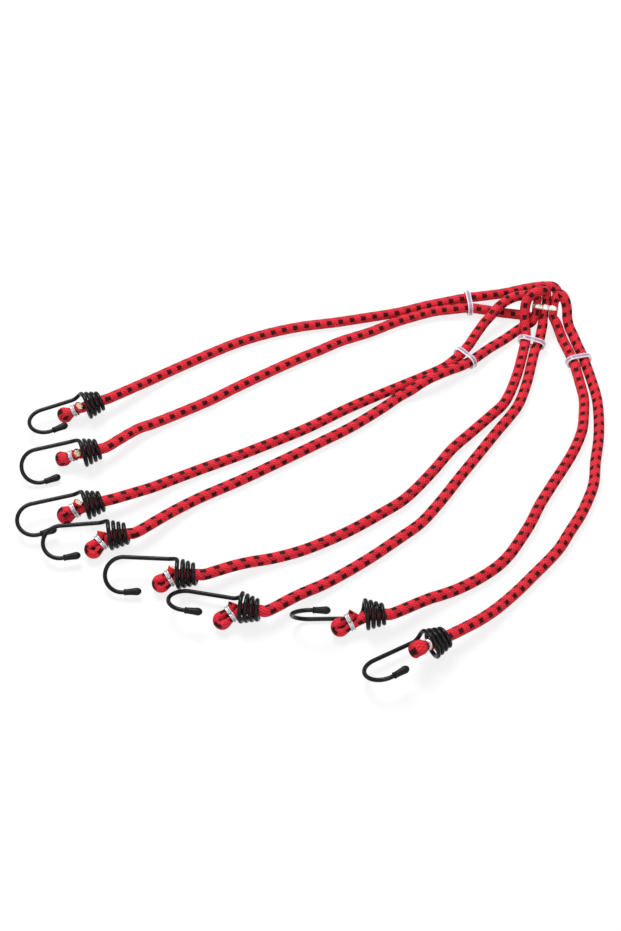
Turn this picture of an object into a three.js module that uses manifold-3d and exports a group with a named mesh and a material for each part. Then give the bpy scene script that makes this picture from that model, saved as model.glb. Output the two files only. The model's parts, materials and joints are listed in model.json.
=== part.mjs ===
// Eight-armed elastic luggage strap, lying loose on a flat surface.
// Four elastic cords are gathered at their middles in one crimped metal clamp, so eight arms leave it.
// Each arm passes through the cone-shaped coil of a coated wire hook, folds back on itself and is held
// there by a small crimped ring, and a clear clip keeps each cord's two arms side by side.
// Millimetres, +Z up, Y away from the front edge of the surface, origin under the middle of the layout.

import * as THREE from 'three';
import { mergeVertices } from 'three/addons/utils/BufferGeometryUtils.js';
import Module from 'manifold-3d';

const wasm = await Module();
wasm.setup();

const vec = (x, y, z) => new THREE.Vector3(x, y, z);
const degrees = THREE.MathUtils.degToRad;

// Fits: the gap kept between pieces that touch, and the overrun of a cut past a face
const GAP = 0.3;
const CUT_OVERRUN = 1;

// Elastic cord: rubber core in a braided sheath, round at rest and squeezed where metal grips it
const CORD_RADIUS = 4;
const CORD_SIDES = 8;
const CORD_STEP = 16;
const CORD_FINE_STEP = 4;
const MOST_TURN = degrees(15);
const SQUEEZED_RADIUS = 3.3;
const SQUEEZE_TAPER = 9;
const CORE_RADIUS = 2.6;
const CORE_DEPTH = 1.5;
const CORE_PROUD = 0.6;

// Centre clamp: one metal strip crimped round three strands in front and one behind
const CLAMP_PLACE = vec(183, 155, 18);
const CLAMP_RISE = degrees(40);
const CLAMP_LEAN = degrees(8);
const CLAMP_WIDTH = 4.6;
const CLAMP_WALL = 1.1;
const CLAMP_BEAD = 0.35;
const CLAMP_STRAND_OVERHANG = 1.8;
const CLAMP_LEAD = 2;
const FRONT_ROW = 2.8;
const BACK_ROW = FRONT_ROW - 2 * SQUEEZED_RADIUS - GAP;
const STRAND_PITCH = 2 * SQUEEZED_RADIUS + GAP;
const BACK_STRAND_UPPER = 4.2;
const BACK_STRAND_LOWER = -2.6;

// Clear clip round the two arms of a cord
const CLIP_WALL = 1.2;
const CLIP_WIDTH = 4;
const CLIP_CLEARANCE = 0.85;
const CLIP_CORNER_STEPS = 7;

// Folded cord end: neck through the coil, ring, round bulb and cut end
const NECK_LEAD = 1.5;
const STRAND_OFFSET = 2.45;
const STRAND_RADIUS = 2.4;
const BULB_LENGTH = 11.8;
const BULB_HALF_WIDTH = 6.6;
const BULB_HALF_THICKNESS = 5.4;
const BULB_SIDES = 10;
const BULB_CENTRE = 7.2;
const CUT_END_SETBACK = 5.4;
const CUT_END_OFFSET = 4.6;
const CUT_END_RADIUS = 3.7;
const INCOMING_OFFSET = 1.8;
const INCOMING_RADIUS = 3.6;

// Crimped ring round the doubled strands: a strip with a bead along each edge
const RING_WIDTH = 3.2;
const RING_WALL = 0.7;
const RING_MARGIN = 0.6;
const RING_BEAD = 0.3;
const RING_CORNER_STEPS = 4;

// Share of the strip's half width at which a bead starts
const BEAD_INNER_SHARE = 1 / 3;

// Coated wire hook: coil from its small turn to its large turn, straight shank, bend and tip.
// The cord passes through the small turn, and the ring has room inside the large one.
const WIRE_RADIUS = 1.5;
const WIRE_SIDES = 5;
const CORD_CLEARANCE = 0.7;
const RING_CLEARANCE = 2.05;
const RING_REACH = STRAND_OFFSET + STRAND_RADIUS + 2 * GAP + RING_WALL + RING_BEAD;
const COIL_SMALL_RADIUS = CORD_RADIUS + CORD_CLEARANCE + WIRE_RADIUS;
const COIL_LARGE_RADIUS = RING_REACH + RING_CLEARANCE + WIRE_RADIUS;
const COIL_PITCH = 3.6;
const COIL_TURNS = 3.75;
const COIL_STEPS_PER_TURN = 8;
const SHANK_START = 7;
const SHANK_END = 35;
const LEAD_HANDLE = 4.5;
const LEAD_STEPS = 4;
const BEND_RADIUS = 12.3;
const BEND_TURN = degrees(186);
const BEND_STEPS = 12;
const TIP_LENGTH = 9.5;

// Plastic cap on the hook's tip
const CAP_CLEARANCE = 0.5;
const CAP_WALL = 0.75;
const CAP_BORE = WIRE_RADIUS + CAP_CLEARANCE;
const CAP_RADIUS = CAP_BORE + CAP_WALL;
const CAP_LENGTH = 12;
const CAP_START = 0.6;
const CAP_SIDES = 8;

// Shares of the bulb's length, and of its half width and thickness there
const BULB_SHARES = [[0, 0.5], [0.12, 0.82], [0.34, 1], [0.6, 0.94], [0.82, 0.68], [0.95, 0.34]];

// Arms: the cord's free route over the surface, with the strand it leaves the clamp from
// and the side of the clamp. Each hook's place is its large turn's centre. It heads from straight
// left towards the front, its tip is turned below level, and its shank is a share of the full one.
// Its bulb lies shares of the large turn's radius along, sideways of and above that centre.
const ARMS = [
  {
    name: 'arm_1', strand: 'a', upper: true,
    route: [
      [190.6, 162.6, 17.8], [193.6, 166, 20.4], [193.6, 169.6, 23.4], [190.6, 173, 24.4],
      [185, 176, 22], [177.6, 181.6, 15.8], [167.5, 185.6, 9.4], [154, 184.5, 6.4], [135, 181, 6.3],
      [124, 179, 6.5], [110, 176.4, 5.4], [89, 171.8, 4], [68, 164.6, 4], [44, 159, 4], [16, 153, 4],
      [-12, 148, 4], [-36, 141, 4], [-60, 131, 4], [-83, 118, 4], [-107, 103, 4], [-132.8, 83, 7.2],
      [-141.4, 75.8, 8.9], [-151, 68.1, 10.5], [-157.4, 63.4, 11.3],
    ],
    hook: {
      place: [-175.4, 55], heading: 24, tip: -3, shankShare: 0.89, bulbShares: [1.45, -0.2, -0.47],
    },
  },
  {
    name: 'arm_2', strand: 'a', upper: false,
    route: [
      [177, 153.4, 10.4], [173, 155.4, 7.6], [166, 161, 4.6], [150, 164, 4.4], [134, 166, 6.1],
      [123, 167, 6.6], [111, 166, 6.1], [97, 164.4, 5.4], [80, 159, 4.8], [65, 153.4, 4], [44, 142, 4],
      [19, 131, 4], [4, 122, 4], [-12, 113, 4], [-36, 98, 4], [-59, 83, 4], [-81, 68, 4],
      [-103, 55, 4], [-124.9, 41.3, 5.8], [-131.7, 37, 7.2], [-139.8, 29.4, 8.9], [-148.5, 20.4, 10.5],
      [-154.2, 14.7, 11.3],
    ],
    hook: {
      place: [-172.8, 8.2], heading: 17, tip: 36, shankShare: 0.93, bulbShares: [1.3, -0.3, -0.48],
    },
  },
  {
    name: 'arm_3', strand: 'b', upper: true,
    route: [
      [175, 162, 25.2], [172.6, 164.4, 23.4], [171, 166, 22], [167, 168, 19.6], [162, 169, 17.5],
      [155, 167, 15.5], [147, 160, 14.5], [141, 153, 12.3], [135, 147, 9.2], [127.5, 136, 6.8],
      [121.6, 125.6, 6.3], [115.4, 116.6, 6.3], [108.6, 109, 5.8], [100, 102.4, 4], [85, 93.4, 4],
      [65, 82.4, 4], [46, 72, 4], [22, 58, 4], [-4, 41, 4], [-31, 26, 4], [-56, 13, 4], [-85, -1, 4],
      [-106.9, -12.7, 4.9], [-118.9, -20.8, 7.2], [-128.6, -26.2, 8.9], [-139.6, -31.9, 10.5],
      [-146.9, -35.3, 11.3],
    ],
    hook: {
      place: [-166, -41], heading: 16, tip: 15, shankShare: 1.03, bulbShares: [1.38, 0.1, -0.48],
    },
  },
  {
    name: 'arm_4', strand: 'b', upper: false,
    route: [
      [174.4, 148, 15.2], [172.5, 146.3, 11.2], [168, 146.6, 7.2], [162, 143.5, 4.8], [151, 134, 4.2],
      [138, 123, 5.2], [130, 115, 6.1], [122, 107.8, 6.4], [113.5, 101.4, 7], [105, 96, 8.6],
      [96, 90.4, 9.6], [88, 85.6, 9.6], [81, 81.4, 8.2], [73.6, 77, 5.8], [65, 72, 4.2], [50, 59, 4],
      [26, 40, 4], [3, 25, 4], [-27, 6, 4], [-56, -12, 4], [-84, -28, 4.1], [-103.4, -43.6, 7.2],
      [-111.6, -51.3, 8.9], [-120.7, -59.9, 10.5], [-126.8, -65, 11.3],
    ],
    hook: {
      place: [-146.2, -67.8], heading: 5.5, tip: 15, shankShare: 0.96, bulbShares: [1.1, 0.76, -0.49],
    },
  },
  {
    name: 'arm_5', strand: 'c', upper: true,
    route: [
      [184, 159.4, 25.8], [183.2, 160.8, 29.6], [179.4, 159.6, 32.4], [175, 157.4, 33],
      [170.6, 156.2, 30.4], [167.8, 154.2, 27.2], [166.6, 151.2, 23.4], [166.3, 147, 18.8],
      [166.4, 142, 14.4], [167, 137, 10.3], [166.8, 131, 7.9], [165, 123, 5.8], [162, 112, 4.4],
      [157, 95, 4], [149, 74, 4], [143, 63, 4], [134, 53, 4], [118, 36, 4], [102, 19, 4], [86, -3, 4],
      [70, -23, 4], [61, -32, 4], [46, -43, 4], [24, -58, 4], [4, -69, 4], [-11, -76, 4],
      [-29, -82.3, 4.4], [-47.4, -88.3, 7.2], [-57.6, -92.5, 8.9], [-68.8, -97.9, 10.5],
      [-76.2, -101.3, 11.3],
    ],
    hook: {
      place: [-96, -101], heading: -3, tip: 27, shankShare: 1.07, bulbShares: [1.06, 0.52, -0.48],
    },
  },
  {
    name: 'arm_6', strand: 'c', upper: false,
    route: [
      [181.5, 146.6, 14.4], [180.8, 142.2, 10.8], [179.2, 136, 8.2], [177, 128, 6.8], [173, 119.5, 5],
      [170, 109, 4], [164, 87, 4], [155, 63, 4], [146, 49, 4], [138, 38, 4], [122, 15, 4],
      [106, -8, 4], [89, -33, 4], [75, -51, 4], [60, -64, 4], [38, -82, 4], [17, -97, 4],
      [3, -106.7, 5.2], [-6.9, -113.1, 7.2], [-16.1, -119.5, 8.9], [-26.1, -127.1, 10.5],
      [-32.8, -131.6, 11.3],
    ],
    hook: {
      place: [-52, -129], heading: -11, tip: -24, shankShare: 1.04, bulbShares: [1.0, 0.92, -0.49],
    },
  },
  {
    name: 'arm_7', strand: 'd', upper: false,
    route: [
      [190.5, 145.6, 14], [192.8, 141.2, 11], [194.4, 136, 8.8], [196.4, 129, 7], [199, 121, 6],
      [201, 111, 6.5], [203, 101, 5.8], [205, 86, 4], [206, 70, 4], [204, 53, 4], [201, 38, 4],
      [196, 25, 4], [189, 11, 4], [172, -17, 4], [162, -34, 4], [153, -52, 4], [144, -67, 4],
      [136, -79, 4], [127, -89, 4], [114, -99, 4], [99, -108.1, 4.2], [84.8, -115.4, 6],
      [79.2, -118.1, 7.2], [69.4, -123.7, 8.9], [58.7, -130.1, 10.5], [51.6, -133.9, 11.3],
    ],
    hook: {
      place: [32, -135], heading: 1, tip: -70, shankShare: 1.04, bulbShares: [1.6, 0.65, -0.48],
    },
  },
  {
    name: 'arm_8', strand: 'd', upper: true,
    route: [
      [192, 158.7, 25], [193.9, 160.6, 27.7], [196, 159.2, 28.2], [198.6, 155.6, 25.4], [200, 151, 21],
      [200.2, 145.5, 16.6], [201.5, 139, 12.9], [204.2, 132, 10.2], [207, 123, 7.8], [209.8, 113, 6.7],
      [211.8, 102, 5.8], [214.5, 87, 4], [216, 70, 4], [215, 50, 4], [212, 28, 4], [207, 6, 4],
      [203, -15, 4], [197, -30, 4], [190, -44, 4], [180, -60, 4], [172, -73, 4], [163, -84, 4],
      [151, -97, 4], [139, -110, 4], [124.9, -124.3, 5.5], [117.5, -131.3, 7.2], [108.7, -138.5, 8.9],
      [98.6, -145.5, 10.5], [91.9, -149.8, 11.3],
    ],
    hook: {
      place: [74.4, -159.2], heading: 28, tip: -26, shankShare: 1.04, bulbShares: [1.08, 0.38, 0.86],
    },
  },
];

// Clips: the two arms each one holds, and the place on the surface it lies at
const CLIPS = [
  { name: 'clip_a', arms: ['arm_1', 'arm_2'], place: vec(125, 173, CORD_RADIUS) },
  { name: 'clip_b', arms: ['arm_3', 'arm_4'], place: vec(117.8, 111.6, CORD_RADIUS) },
  { name: 'clip_c', arms: ['arm_5', 'arm_6'], place: vec(171.8, 128.5, CORD_RADIUS) },
  { name: 'clip_d', arms: ['arm_7', 'arm_8'], place: vec(206.2, 108.5, CORD_RADIUS) },
];

const FINISH = {
  sheath: { color: 0xd81e34, roughness: 0.75, metalness: 0 },
  core: { color: 0xeedfbe, roughness: 0.6, metalness: 0 },
  hook: { color: 0x141416, roughness: 0.35, metalness: 0 },
  cap: { color: 0x18181a, roughness: 0.45, metalness: 0 },
  metal: { color: 0xc9ccce, roughness: 0.3, metalness: 1 },
  clip: { color: 0xe9d9e6, roughness: 0.15, metalness: 0 },
};

// Geometry from rings of points: each ring turns anticlockwise about the way the rings advance
function loft(rings, closed) {
  const sides = rings[0].length;
  const positions = rings.flat().flatMap((point) => point.toArray());
  const index = [];
  const spans = closed ? rings.length : rings.length - 1;
  for (let i = 0; i < spans; i += 1) {
    const next = (i + 1) % rings.length;
    for (let k = 0; k < sides; k += 1) {
      const turn = (k + 1) % sides;
      index.push(i * sides + k, i * sides + turn, next * sides + turn);
      index.push(i * sides + k, next * sides + turn, next * sides + k);
    }
  }
  if (!closed) {
    const last = (rings.length - 1) * sides;
    for (let k = 1; k < sides - 1; k += 1) {
      index.push(0, k + 1, k);
      index.push(last, last + k, last + k + 1);
    }
  }
  const geometry = new THREE.BufferGeometry();
  geometry.setAttribute('position', new THREE.Float32BufferAttribute(positions, 3));
  geometry.setIndex(index);
  return geometry;
}

function tangents(points) {
  return points.map((point, i) => {
    const before = points[Math.max(i - 1, 0)];
    const after = points[Math.min(i + 1, points.length - 1)];
    return after.clone().sub(before).normalize();
  });
}

// Frames that don't twist, carried both ways from the middle point, where one side faces up
function carriedNormals(points, up) {
  const along = tangents(points);
  const middle = Math.floor(points.length / 2);
  const square = (normal, i) => normal.clone().addScaledVector(along[i], -normal.dot(along[i])).normalize();
  const normals = [];
  normals[middle] = square(up, middle);
  for (let i = middle + 1; i < points.length; i += 1) {
    normals[i] = square(normals[i - 1], i);
  }
  for (let i = middle - 1; i >= 0; i -= 1) {
    normals[i] = square(normals[i + 1], i);
  }
  return { along, normals };
}

// Closed solid tube along points, with a radius at each point and a flat at each end
function tube(points, radii, sides, up = vec(0, 0, 1)) {
  const { along, normals } = carriedNormals(points, up);
  const rings = points.map((point, i) => {
    const normal = normals[i];
    const across = along[i].clone().cross(normal);
    return Array.from({ length: sides }, (unused, k) => {
      const angle = ((k + 0.5) * 2 * Math.PI) / sides;
      return point.clone()
        .addScaledVector(normal, radii[i] * Math.cos(angle))
        .addScaledVector(across, radii[i] * Math.sin(angle));
    });
  });
  return loft(rings, false);
}

// Rounded outline round a row of circle centres, given anticlockwise
function outlineRound(centres, radius, stepsPerCorner) {
  const outline = [];
  centres.forEach((centre, i) => {
    const before = centres[(i + centres.length - 1) % centres.length];
    const after = centres[(i + 1) % centres.length];
    const start = Math.atan2(centre.y - before.y, centre.x - before.x) - Math.PI / 2;
    let turn = Math.atan2(after.y - centre.y, after.x - centre.x) - Math.PI / 2 - start;
    turn += turn < 0 ? 2 * Math.PI : 0;
    for (let k = 0; k <= stepsPerCorner; k += 1) {
      const angle = start + (turn * k) / stepsPerCorner;
      const normal = new THREE.Vector2(Math.cos(angle), Math.sin(angle));
      outline.push({ point: centre.clone().addScaledVector(normal, radius), normal });
    }
  });
  return outline;
}

// Band round an outline in the XY plane, from a profile of places along the band's axis and outwards
function band(outline, profile) {
  const rings = outline.map(({ point, normal }) => profile.map(([along, out]) => vec(
    point.x + normal.x * out,
    point.y + normal.y * out,
    along,
  )));
  return loft(rings, true);
}

function beadedProfile(width, wall, bead) {
  const edge = width / 2;
  const beadIn = edge * BEAD_INNER_SHARE;
  return [
    [-edge, 0], [edge, 0], [edge, wall], [(edge + beadIn) / 2, wall + bead], [beadIn, wall],
    [-beadIn, wall], [-(edge + beadIn) / 2, wall + bead], [-edge, wall],
  ];
}

function solidOf(geometry) {
  const bare = geometry.index ? geometry.toNonIndexed() : geometry.clone();
  bare.deleteAttribute('normal');
  bare.deleteAttribute('uv');
  const merged = mergeVertices(bare);
  return new wasm.Manifold(new wasm.Mesh({
    numProp: 3,
    vertProperties: new Float32Array(merged.attributes.position.array),
    triVerts: new Uint32Array(merged.index.array),
  }));
}

function geometryOf(solid) {
  const mesh = solid.getMesh();
  const geometry = new THREE.BufferGeometry();
  geometry.setAttribute('position', new THREE.Float32BufferAttribute(mesh.vertProperties, 3));
  geometry.setIndex(Array.from(mesh.triVerts));
  return geometry;
}

function piece(name, geometry, finish) {
  geometry.computeVertexNormals();
  const mesh = new THREE.Mesh(geometry, new THREE.MeshStandardMaterial(FINISH[finish]));
  mesh.name = name;
  return mesh;
}

// A group whose X, Y and Z run along three square directions
function placedGroup(origin, x, y, z) {
  const group = new THREE.Group();
  group.position.copy(origin);
  group.quaternion.setFromRotationMatrix(new THREE.Matrix4().makeBasis(x, y, z));
  return group;
}

// Centre clamp: its strands run along the axis, across runs to the right and front faces up and out
const clampAxis = vec(0, Math.cos(CLAMP_RISE), Math.sin(CLAMP_RISE));
const clampFront = vec(0, -Math.sin(CLAMP_RISE), Math.cos(CLAMP_RISE));
clampAxis.applyAxisAngle(clampFront, -CLAMP_LEAN);
const clampAcross = clampAxis.clone().cross(clampFront);
const clampHalf = CLAMP_WIDTH / 2 + CLAMP_STRAND_OVERHANG;

const STRANDS = {
  a: { upper: BACK_STRAND_UPPER, lower: BACK_STRAND_LOWER, row: BACK_ROW },
  b: { upper: -STRAND_PITCH, lower: -STRAND_PITCH, row: FRONT_ROW },
  c: { upper: 0, lower: 0, row: FRONT_ROW },
  d: { upper: STRAND_PITCH, lower: STRAND_PITCH, row: FRONT_ROW },
};

function inClamp(across, front, along) {
  return CLAMP_PLACE.clone()
    .addScaledVector(clampAcross, across)
    .addScaledVector(clampFront, front)
    .addScaledVector(clampAxis, along);
}

function strandEnd(strand, upper, beyond) {
  const { upper: high, lower: low, row } = STRANDS[strand];
  const middle = (high + low) / 2;
  const reach = (clampHalf + beyond) * (upper ? 1 : -1);
  const slope = (high - low) / (2 * clampHalf);
  return inClamp(middle + slope * reach, row, reach);
}

function clamp() {
  const centres = [
    new THREE.Vector2(-STRAND_PITCH, FRONT_ROW),
    new THREE.Vector2(BACK_STRAND_LOWER, BACK_ROW),
    new THREE.Vector2(BACK_STRAND_UPPER, BACK_ROW),
    new THREE.Vector2(STRAND_PITCH, FRONT_ROW),
  ];
  const outline = outlineRound(centres, SQUEEZED_RADIUS + 2 * GAP, RING_CORNER_STEPS);
  const group = placedGroup(CLAMP_PLACE, clampAcross, clampFront, clampAcross.clone().cross(clampFront));
  const profile = beadedProfile(CLAMP_WIDTH, CLAMP_WALL, CLAMP_BEAD);
  group.add(piece('centre_clamp', band(outline, profile), 'metal'));
  return group;
}

function cordMiddle(strand) {
  const points = [strandEnd(strand, false, 0), strandEnd(strand, true, 0)];
  const radii = points.map(() => SQUEEZED_RADIUS);
  return piece(`cord_${strand}_middle`, tube(points, radii, CORD_SIDES), 'sheath');
}

// Hook frame: X along the coil from small turn to large turn, Y from its axis to the shank
function hookFrame({
  place, heading, tip, bulbShares,
}) {
  const turn = degrees(heading);
  const outward = vec(-Math.cos(turn), -Math.sin(turn), 0);
  const sideways = vec(Math.sin(turn), -Math.cos(turn), 0);
  const below = degrees(tip);
  const toShank = sideways.clone().multiplyScalar(-Math.cos(below)).add(vec(0, 0, Math.sin(below)));
  const centre = vec(place[0], place[1], COIL_LARGE_RADIUS + WIRE_RADIUS);
  const [along, aside, above] = bulbShares.map((share) => COIL_LARGE_RADIUS * share);
  const toBulb = outward.clone().multiplyScalar(along)
    .addScaledVector(sideways, aside)
    .add(vec(0, 0, above));
  return { centre, outward, toShank, binormal: outward.clone().cross(toShank), toBulb };
}

const coilLength = COIL_PITCH * COIL_TURNS;
const neckStart = -coilLength - NECK_LEAD;

function coilPoint(angleFromEnd) {
  const share = 1 - angleFromEnd / (COIL_TURNS * 2 * Math.PI);
  const radius = COIL_SMALL_RADIUS + (COIL_LARGE_RADIUS - COIL_SMALL_RADIUS) * share;
  return vec(-coilLength * (1 - share), radius * Math.cos(angleFromEnd), -radius * Math.sin(angleFromEnd));
}

// The coil stops one step short of its last turn's end, where the wire leaves for the shank
function coilPoints() {
  const steps = Math.round(COIL_TURNS * COIL_STEPS_PER_TURN);
  const step = (2 * Math.PI) / COIL_STEPS_PER_TURN;
  return Array.from({ length: steps }, (unused, i) => coilPoint((steps - i) * step));
}

// Least gap between neighbouring turns, measured on the coil's own points
function leastCoilGap() {
  const points = coilPoints();
  let least = Infinity;
  for (let i = 0; i < points.length; i += 1) {
    for (let k = i + Math.round(COIL_STEPS_PER_TURN / 2); k < points.length; k += 1) {
      least = Math.min(least, points[i].distanceTo(points[k]));
    }
  }
  return least - 2 * WIRE_RADIUS;
}

// Centreline of the whole hook wire, and where its straight tip starts and heads
function hookLine(shankShare) {
  const coil = coilPoints();
  const leaving = coil[coil.length - 1];
  const heading = leaving.clone().sub(coil[coil.length - 2]).normalize();
  const shank = vec(SHANK_START, COIL_LARGE_RADIUS, 0);
  const lead = new THREE.CubicBezierCurve3(
    leaving,
    leaving.clone().addScaledVector(heading, LEAD_HANDLE),
    shank.clone().sub(vec(LEAD_HANDLE, 0, 0)),
    shank,
  ).getPoints(LEAD_STEPS).slice(1);
  const bendCentre = vec(SHANK_END * shankShare, COIL_LARGE_RADIUS - BEND_RADIUS, 0);
  const bend = Array.from({ length: BEND_STEPS + 1 }, (unused, i) => {
    const angle = Math.PI / 2 - (BEND_TURN * i) / BEND_STEPS;
    return bendCentre.clone().add(vec(BEND_RADIUS * Math.cos(angle), BEND_RADIUS * Math.sin(angle), 0));
  });
  const tipStart = bend[bend.length - 1];
  const last = Math.PI / 2 - BEND_TURN;
  const tipHeading = vec(Math.sin(last), -Math.cos(last), 0);
  const tip = tipStart.clone().addScaledVector(tipHeading, TIP_LENGTH);
  return { line: [...coil, ...lead, ...bend, tip], tipStart, tipHeading };
}

function capGeometry() {
  const end = CAP_LENGTH;
  const bore = TIP_LENGTH - CAP_START + GAP;
  const round = CAP_RADIUS / 2;
  const profile = [
    [0, bore], [CAP_BORE, bore], [CAP_BORE, 0], [(CAP_BORE + CAP_RADIUS) / 2, 0], [CAP_RADIUS, round / 2],
    [CAP_RADIUS, end - round], [CAP_RADIUS * Math.cos(Math.PI / 6), end - round / 3],
    [CAP_RADIUS / 2, end], [0, end],
  ].map(([x, y]) => new THREE.Vector2(x, y));
  return new THREE.LatheGeometry(profile, CAP_SIDES);
}

function hook(number, frame, shankShare) {
  const { line, tipStart, tipHeading } = hookLine(shankShare);
  const group = placedGroup(frame.centre, frame.outward, frame.toShank, frame.binormal);
  const wire = tube(line, line.map(() => WIRE_RADIUS), WIRE_SIDES);
  group.add(piece(`hook_${number}`, wire, 'hook'));
  const cap = piece(`hook_${number}_cap`, capGeometry(), 'cap');
  cap.position.copy(tipStart).addScaledVector(tipHeading, CAP_START);
  cap.quaternion.setFromUnitVectors(vec(0, 1, 0), tipHeading);
  group.add(cap);
  return group;
}

// Folded end: directions of the fold and of its cut strand, and how far off the ring lies
function foldFrame(frame) {
  const reach = frame.toBulb.length();
  const fold = frame.toBulb.clone().normalize();
  const cutSide = frame.outward.clone().addScaledVector(fold, -frame.outward.dot(fold)).normalize();
  const ringAt = reach - BULB_CENTRE;
  const at = (along, towardsCut) => frame.centre.clone()
    .addScaledVector(fold, along)
    .addScaledVector(cutSide, towardsCut);
  return { reach, fold, cutSide, flat: fold.clone().cross(cutSide), ringAt, at };
}

function cutStrand({ at, ringAt, reach }) {
  const setback = ringAt - CUT_END_SETBACK;
  const half = RING_WIDTH / 2 + RING_MARGIN;
  return {
    points: [
      at(setback, CUT_END_OFFSET), at((setback + ringAt - half) / 2, (CUT_END_OFFSET + STRAND_OFFSET) / 2),
      at(ringAt - half, STRAND_OFFSET), at(ringAt + half, STRAND_OFFSET), at(reach, STRAND_OFFSET),
    ],
    radii: [
      CUT_END_RADIUS, (CUT_END_RADIUS + STRAND_RADIUS) / 2, STRAND_RADIUS, STRAND_RADIUS,
      STRAND_RADIUS,
    ],
  };
}

// Incoming strand: straight through the coil, then bent to the ring and on into the bulb
function incomingStrand(frame, { at, ringAt, reach }) {
  const half = RING_WIDTH / 2 + RING_MARGIN;
  const straight = [neckStart, neckStart / 2, -CORD_RADIUS]
    .map((along) => frame.centre.clone().addScaledVector(frame.outward, along));
  return {
    points: [
      ...straight,
      at((ringAt - half) / 2, -INCOMING_OFFSET), at(ringAt - half, -STRAND_OFFSET),
      at(ringAt + half, -STRAND_OFFSET), at(reach, -STRAND_OFFSET),
    ],
    radii: [
      CORD_RADIUS, CORD_RADIUS, CORD_RADIUS, INCOMING_RADIUS, STRAND_RADIUS, STRAND_RADIUS,
      STRAND_RADIUS,
    ],
  };
}

function bulbGeometry({ at, ringAt, cutSide, flat }) {
  const start = ringAt + RING_WIDTH / 2 + GAP;
  const rings = BULB_SHARES.map(([along, size]) => {
    const centre = at(start + BULB_LENGTH * along, 0);
    return Array.from({ length: BULB_SIDES }, (unused, k) => {
      const angle = (k * 2 * Math.PI) / BULB_SIDES;
      return centre.clone()
        .addScaledVector(cutSide, BULB_HALF_WIDTH * size * Math.cos(angle))
        .addScaledVector(flat, BULB_HALF_THICKNESS * size * Math.sin(angle));
    });
  });
  return loft(rings, false);
}

function cutHeading({ points }) {
  return points[0].clone().sub(points[1]).normalize();
}

function cordEnd(number, frame, fold) {
  const cut = cutStrand(fold);
  const incoming = incomingStrand(frame, fold);
  const face = cut.points[0];
  const heading = cutHeading(cut);
  const recess = tube(
    [face.clone().addScaledVector(heading, -CORE_DEPTH), face.clone().addScaledVector(heading, CUT_OVERRUN)],
    [CORE_RADIUS + GAP, CORE_RADIUS + GAP],
    CORD_SIDES,
    fold.flat,
  );
  const solid = solidOf(tube(incoming.points, incoming.radii, CORD_SIDES, fold.flat))
    .add(solidOf(tube(cut.points, cut.radii, CORD_SIDES, fold.flat)))
    .add(solidOf(bulbGeometry(fold)))
    .subtract(solidOf(recess));
  return piece(`arm_${number}_end`, geometryOf(solid), 'sheath');
}

function core(number, fold) {
  const cut = cutStrand(fold);
  const heading = cutHeading(cut);
  const points = [GAP - CORE_DEPTH, CORE_PROUD]
    .map((along) => cut.points[0].clone().addScaledVector(heading, along));
  return piece(`arm_${number}_core`, tube(points, [CORE_RADIUS, CORE_RADIUS], CORD_SIDES, fold.flat), 'core');
}

function ring(number, fold) {
  const centres = [new THREE.Vector2(-STRAND_OFFSET, 0), new THREE.Vector2(STRAND_OFFSET, 0)];
  const outline = outlineRound(centres, STRAND_RADIUS + 2 * GAP, RING_CORNER_STEPS);
  const { at, ringAt, cutSide, flat } = fold;
  const group = placedGroup(at(ringAt, 0), cutSide, flat, cutSide.clone().cross(flat));
  const profile = beadedProfile(RING_WIDTH, RING_WALL, RING_BEAD);
  group.add(piece(`arm_${number}_ring`, band(outline, profile), 'metal'));
  return group;
}

// Arm: from the clamp, squeezed at first, along its route and straight into the coil
function armCurve(arm, frame) {
  const start = strandEnd(arm.strand, arm.upper, GAP);
  const into = (along) => frame.centre.clone().addScaledVector(frame.outward, along);
  return new THREE.CatmullRomCurve3([
    start,
    strandEnd(arm.strand, arm.upper, GAP + CLAMP_LEAD),
    ...arm.route.map(([x, y, z]) => vec(x, y, z)),
    into(neckStart - GAP - CORD_RADIUS / 2),
    into(neckStart - GAP),
  ], false, 'centripetal');
}

// Points along the arm: a fine step where it bends, and a long one where it runs nearly straight
function armPoints(curve) {
  const length = curve.getLength();
  const fine = Math.ceil(length / CORD_FINE_STEP);
  const spaced = curve.getSpacedPoints(fine);
  const directions = tangents(spaced);
  const ends = curve.points;
  const kept = ends.slice(0, 2);
  let last = 0;
  for (let i = 1; i < fine; i += 1) {
    const turned = directions[i].angleTo(directions[last]);
    const far = (i - last) * CORD_FINE_STEP;
    if (i === 1 || i === fine - 1 || turned > MOST_TURN || far >= CORD_STEP) {
      kept.push(spaced[i]);
      last = i;
    }
  }
  return [...kept, ...ends.slice(-2)];
}

function armRadii(points) {
  return points.map((point) => {
    const share = THREE.MathUtils.smoothstep(point.distanceTo(points[0]), 0, SQUEEZE_TAPER);
    return THREE.MathUtils.lerp(SQUEEZED_RADIUS, CORD_RADIUS, share);
  });
}

// Place and heading on a cord's own points that lie nearest a place
function nearestOn(points, place) {
  return points.slice(1).map((end, i) => {
    const span = new THREE.Line3(points[i], end);
    return {
      point: span.closestPointToPoint(place, true, vec(0, 0, 0)),
      direction: span.delta(vec(0, 0, 0)).normalize(),
    };
  }).reduce((best, one) => (one.point.distanceTo(place) < best.point.distanceTo(place) ? one : best));
}

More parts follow.
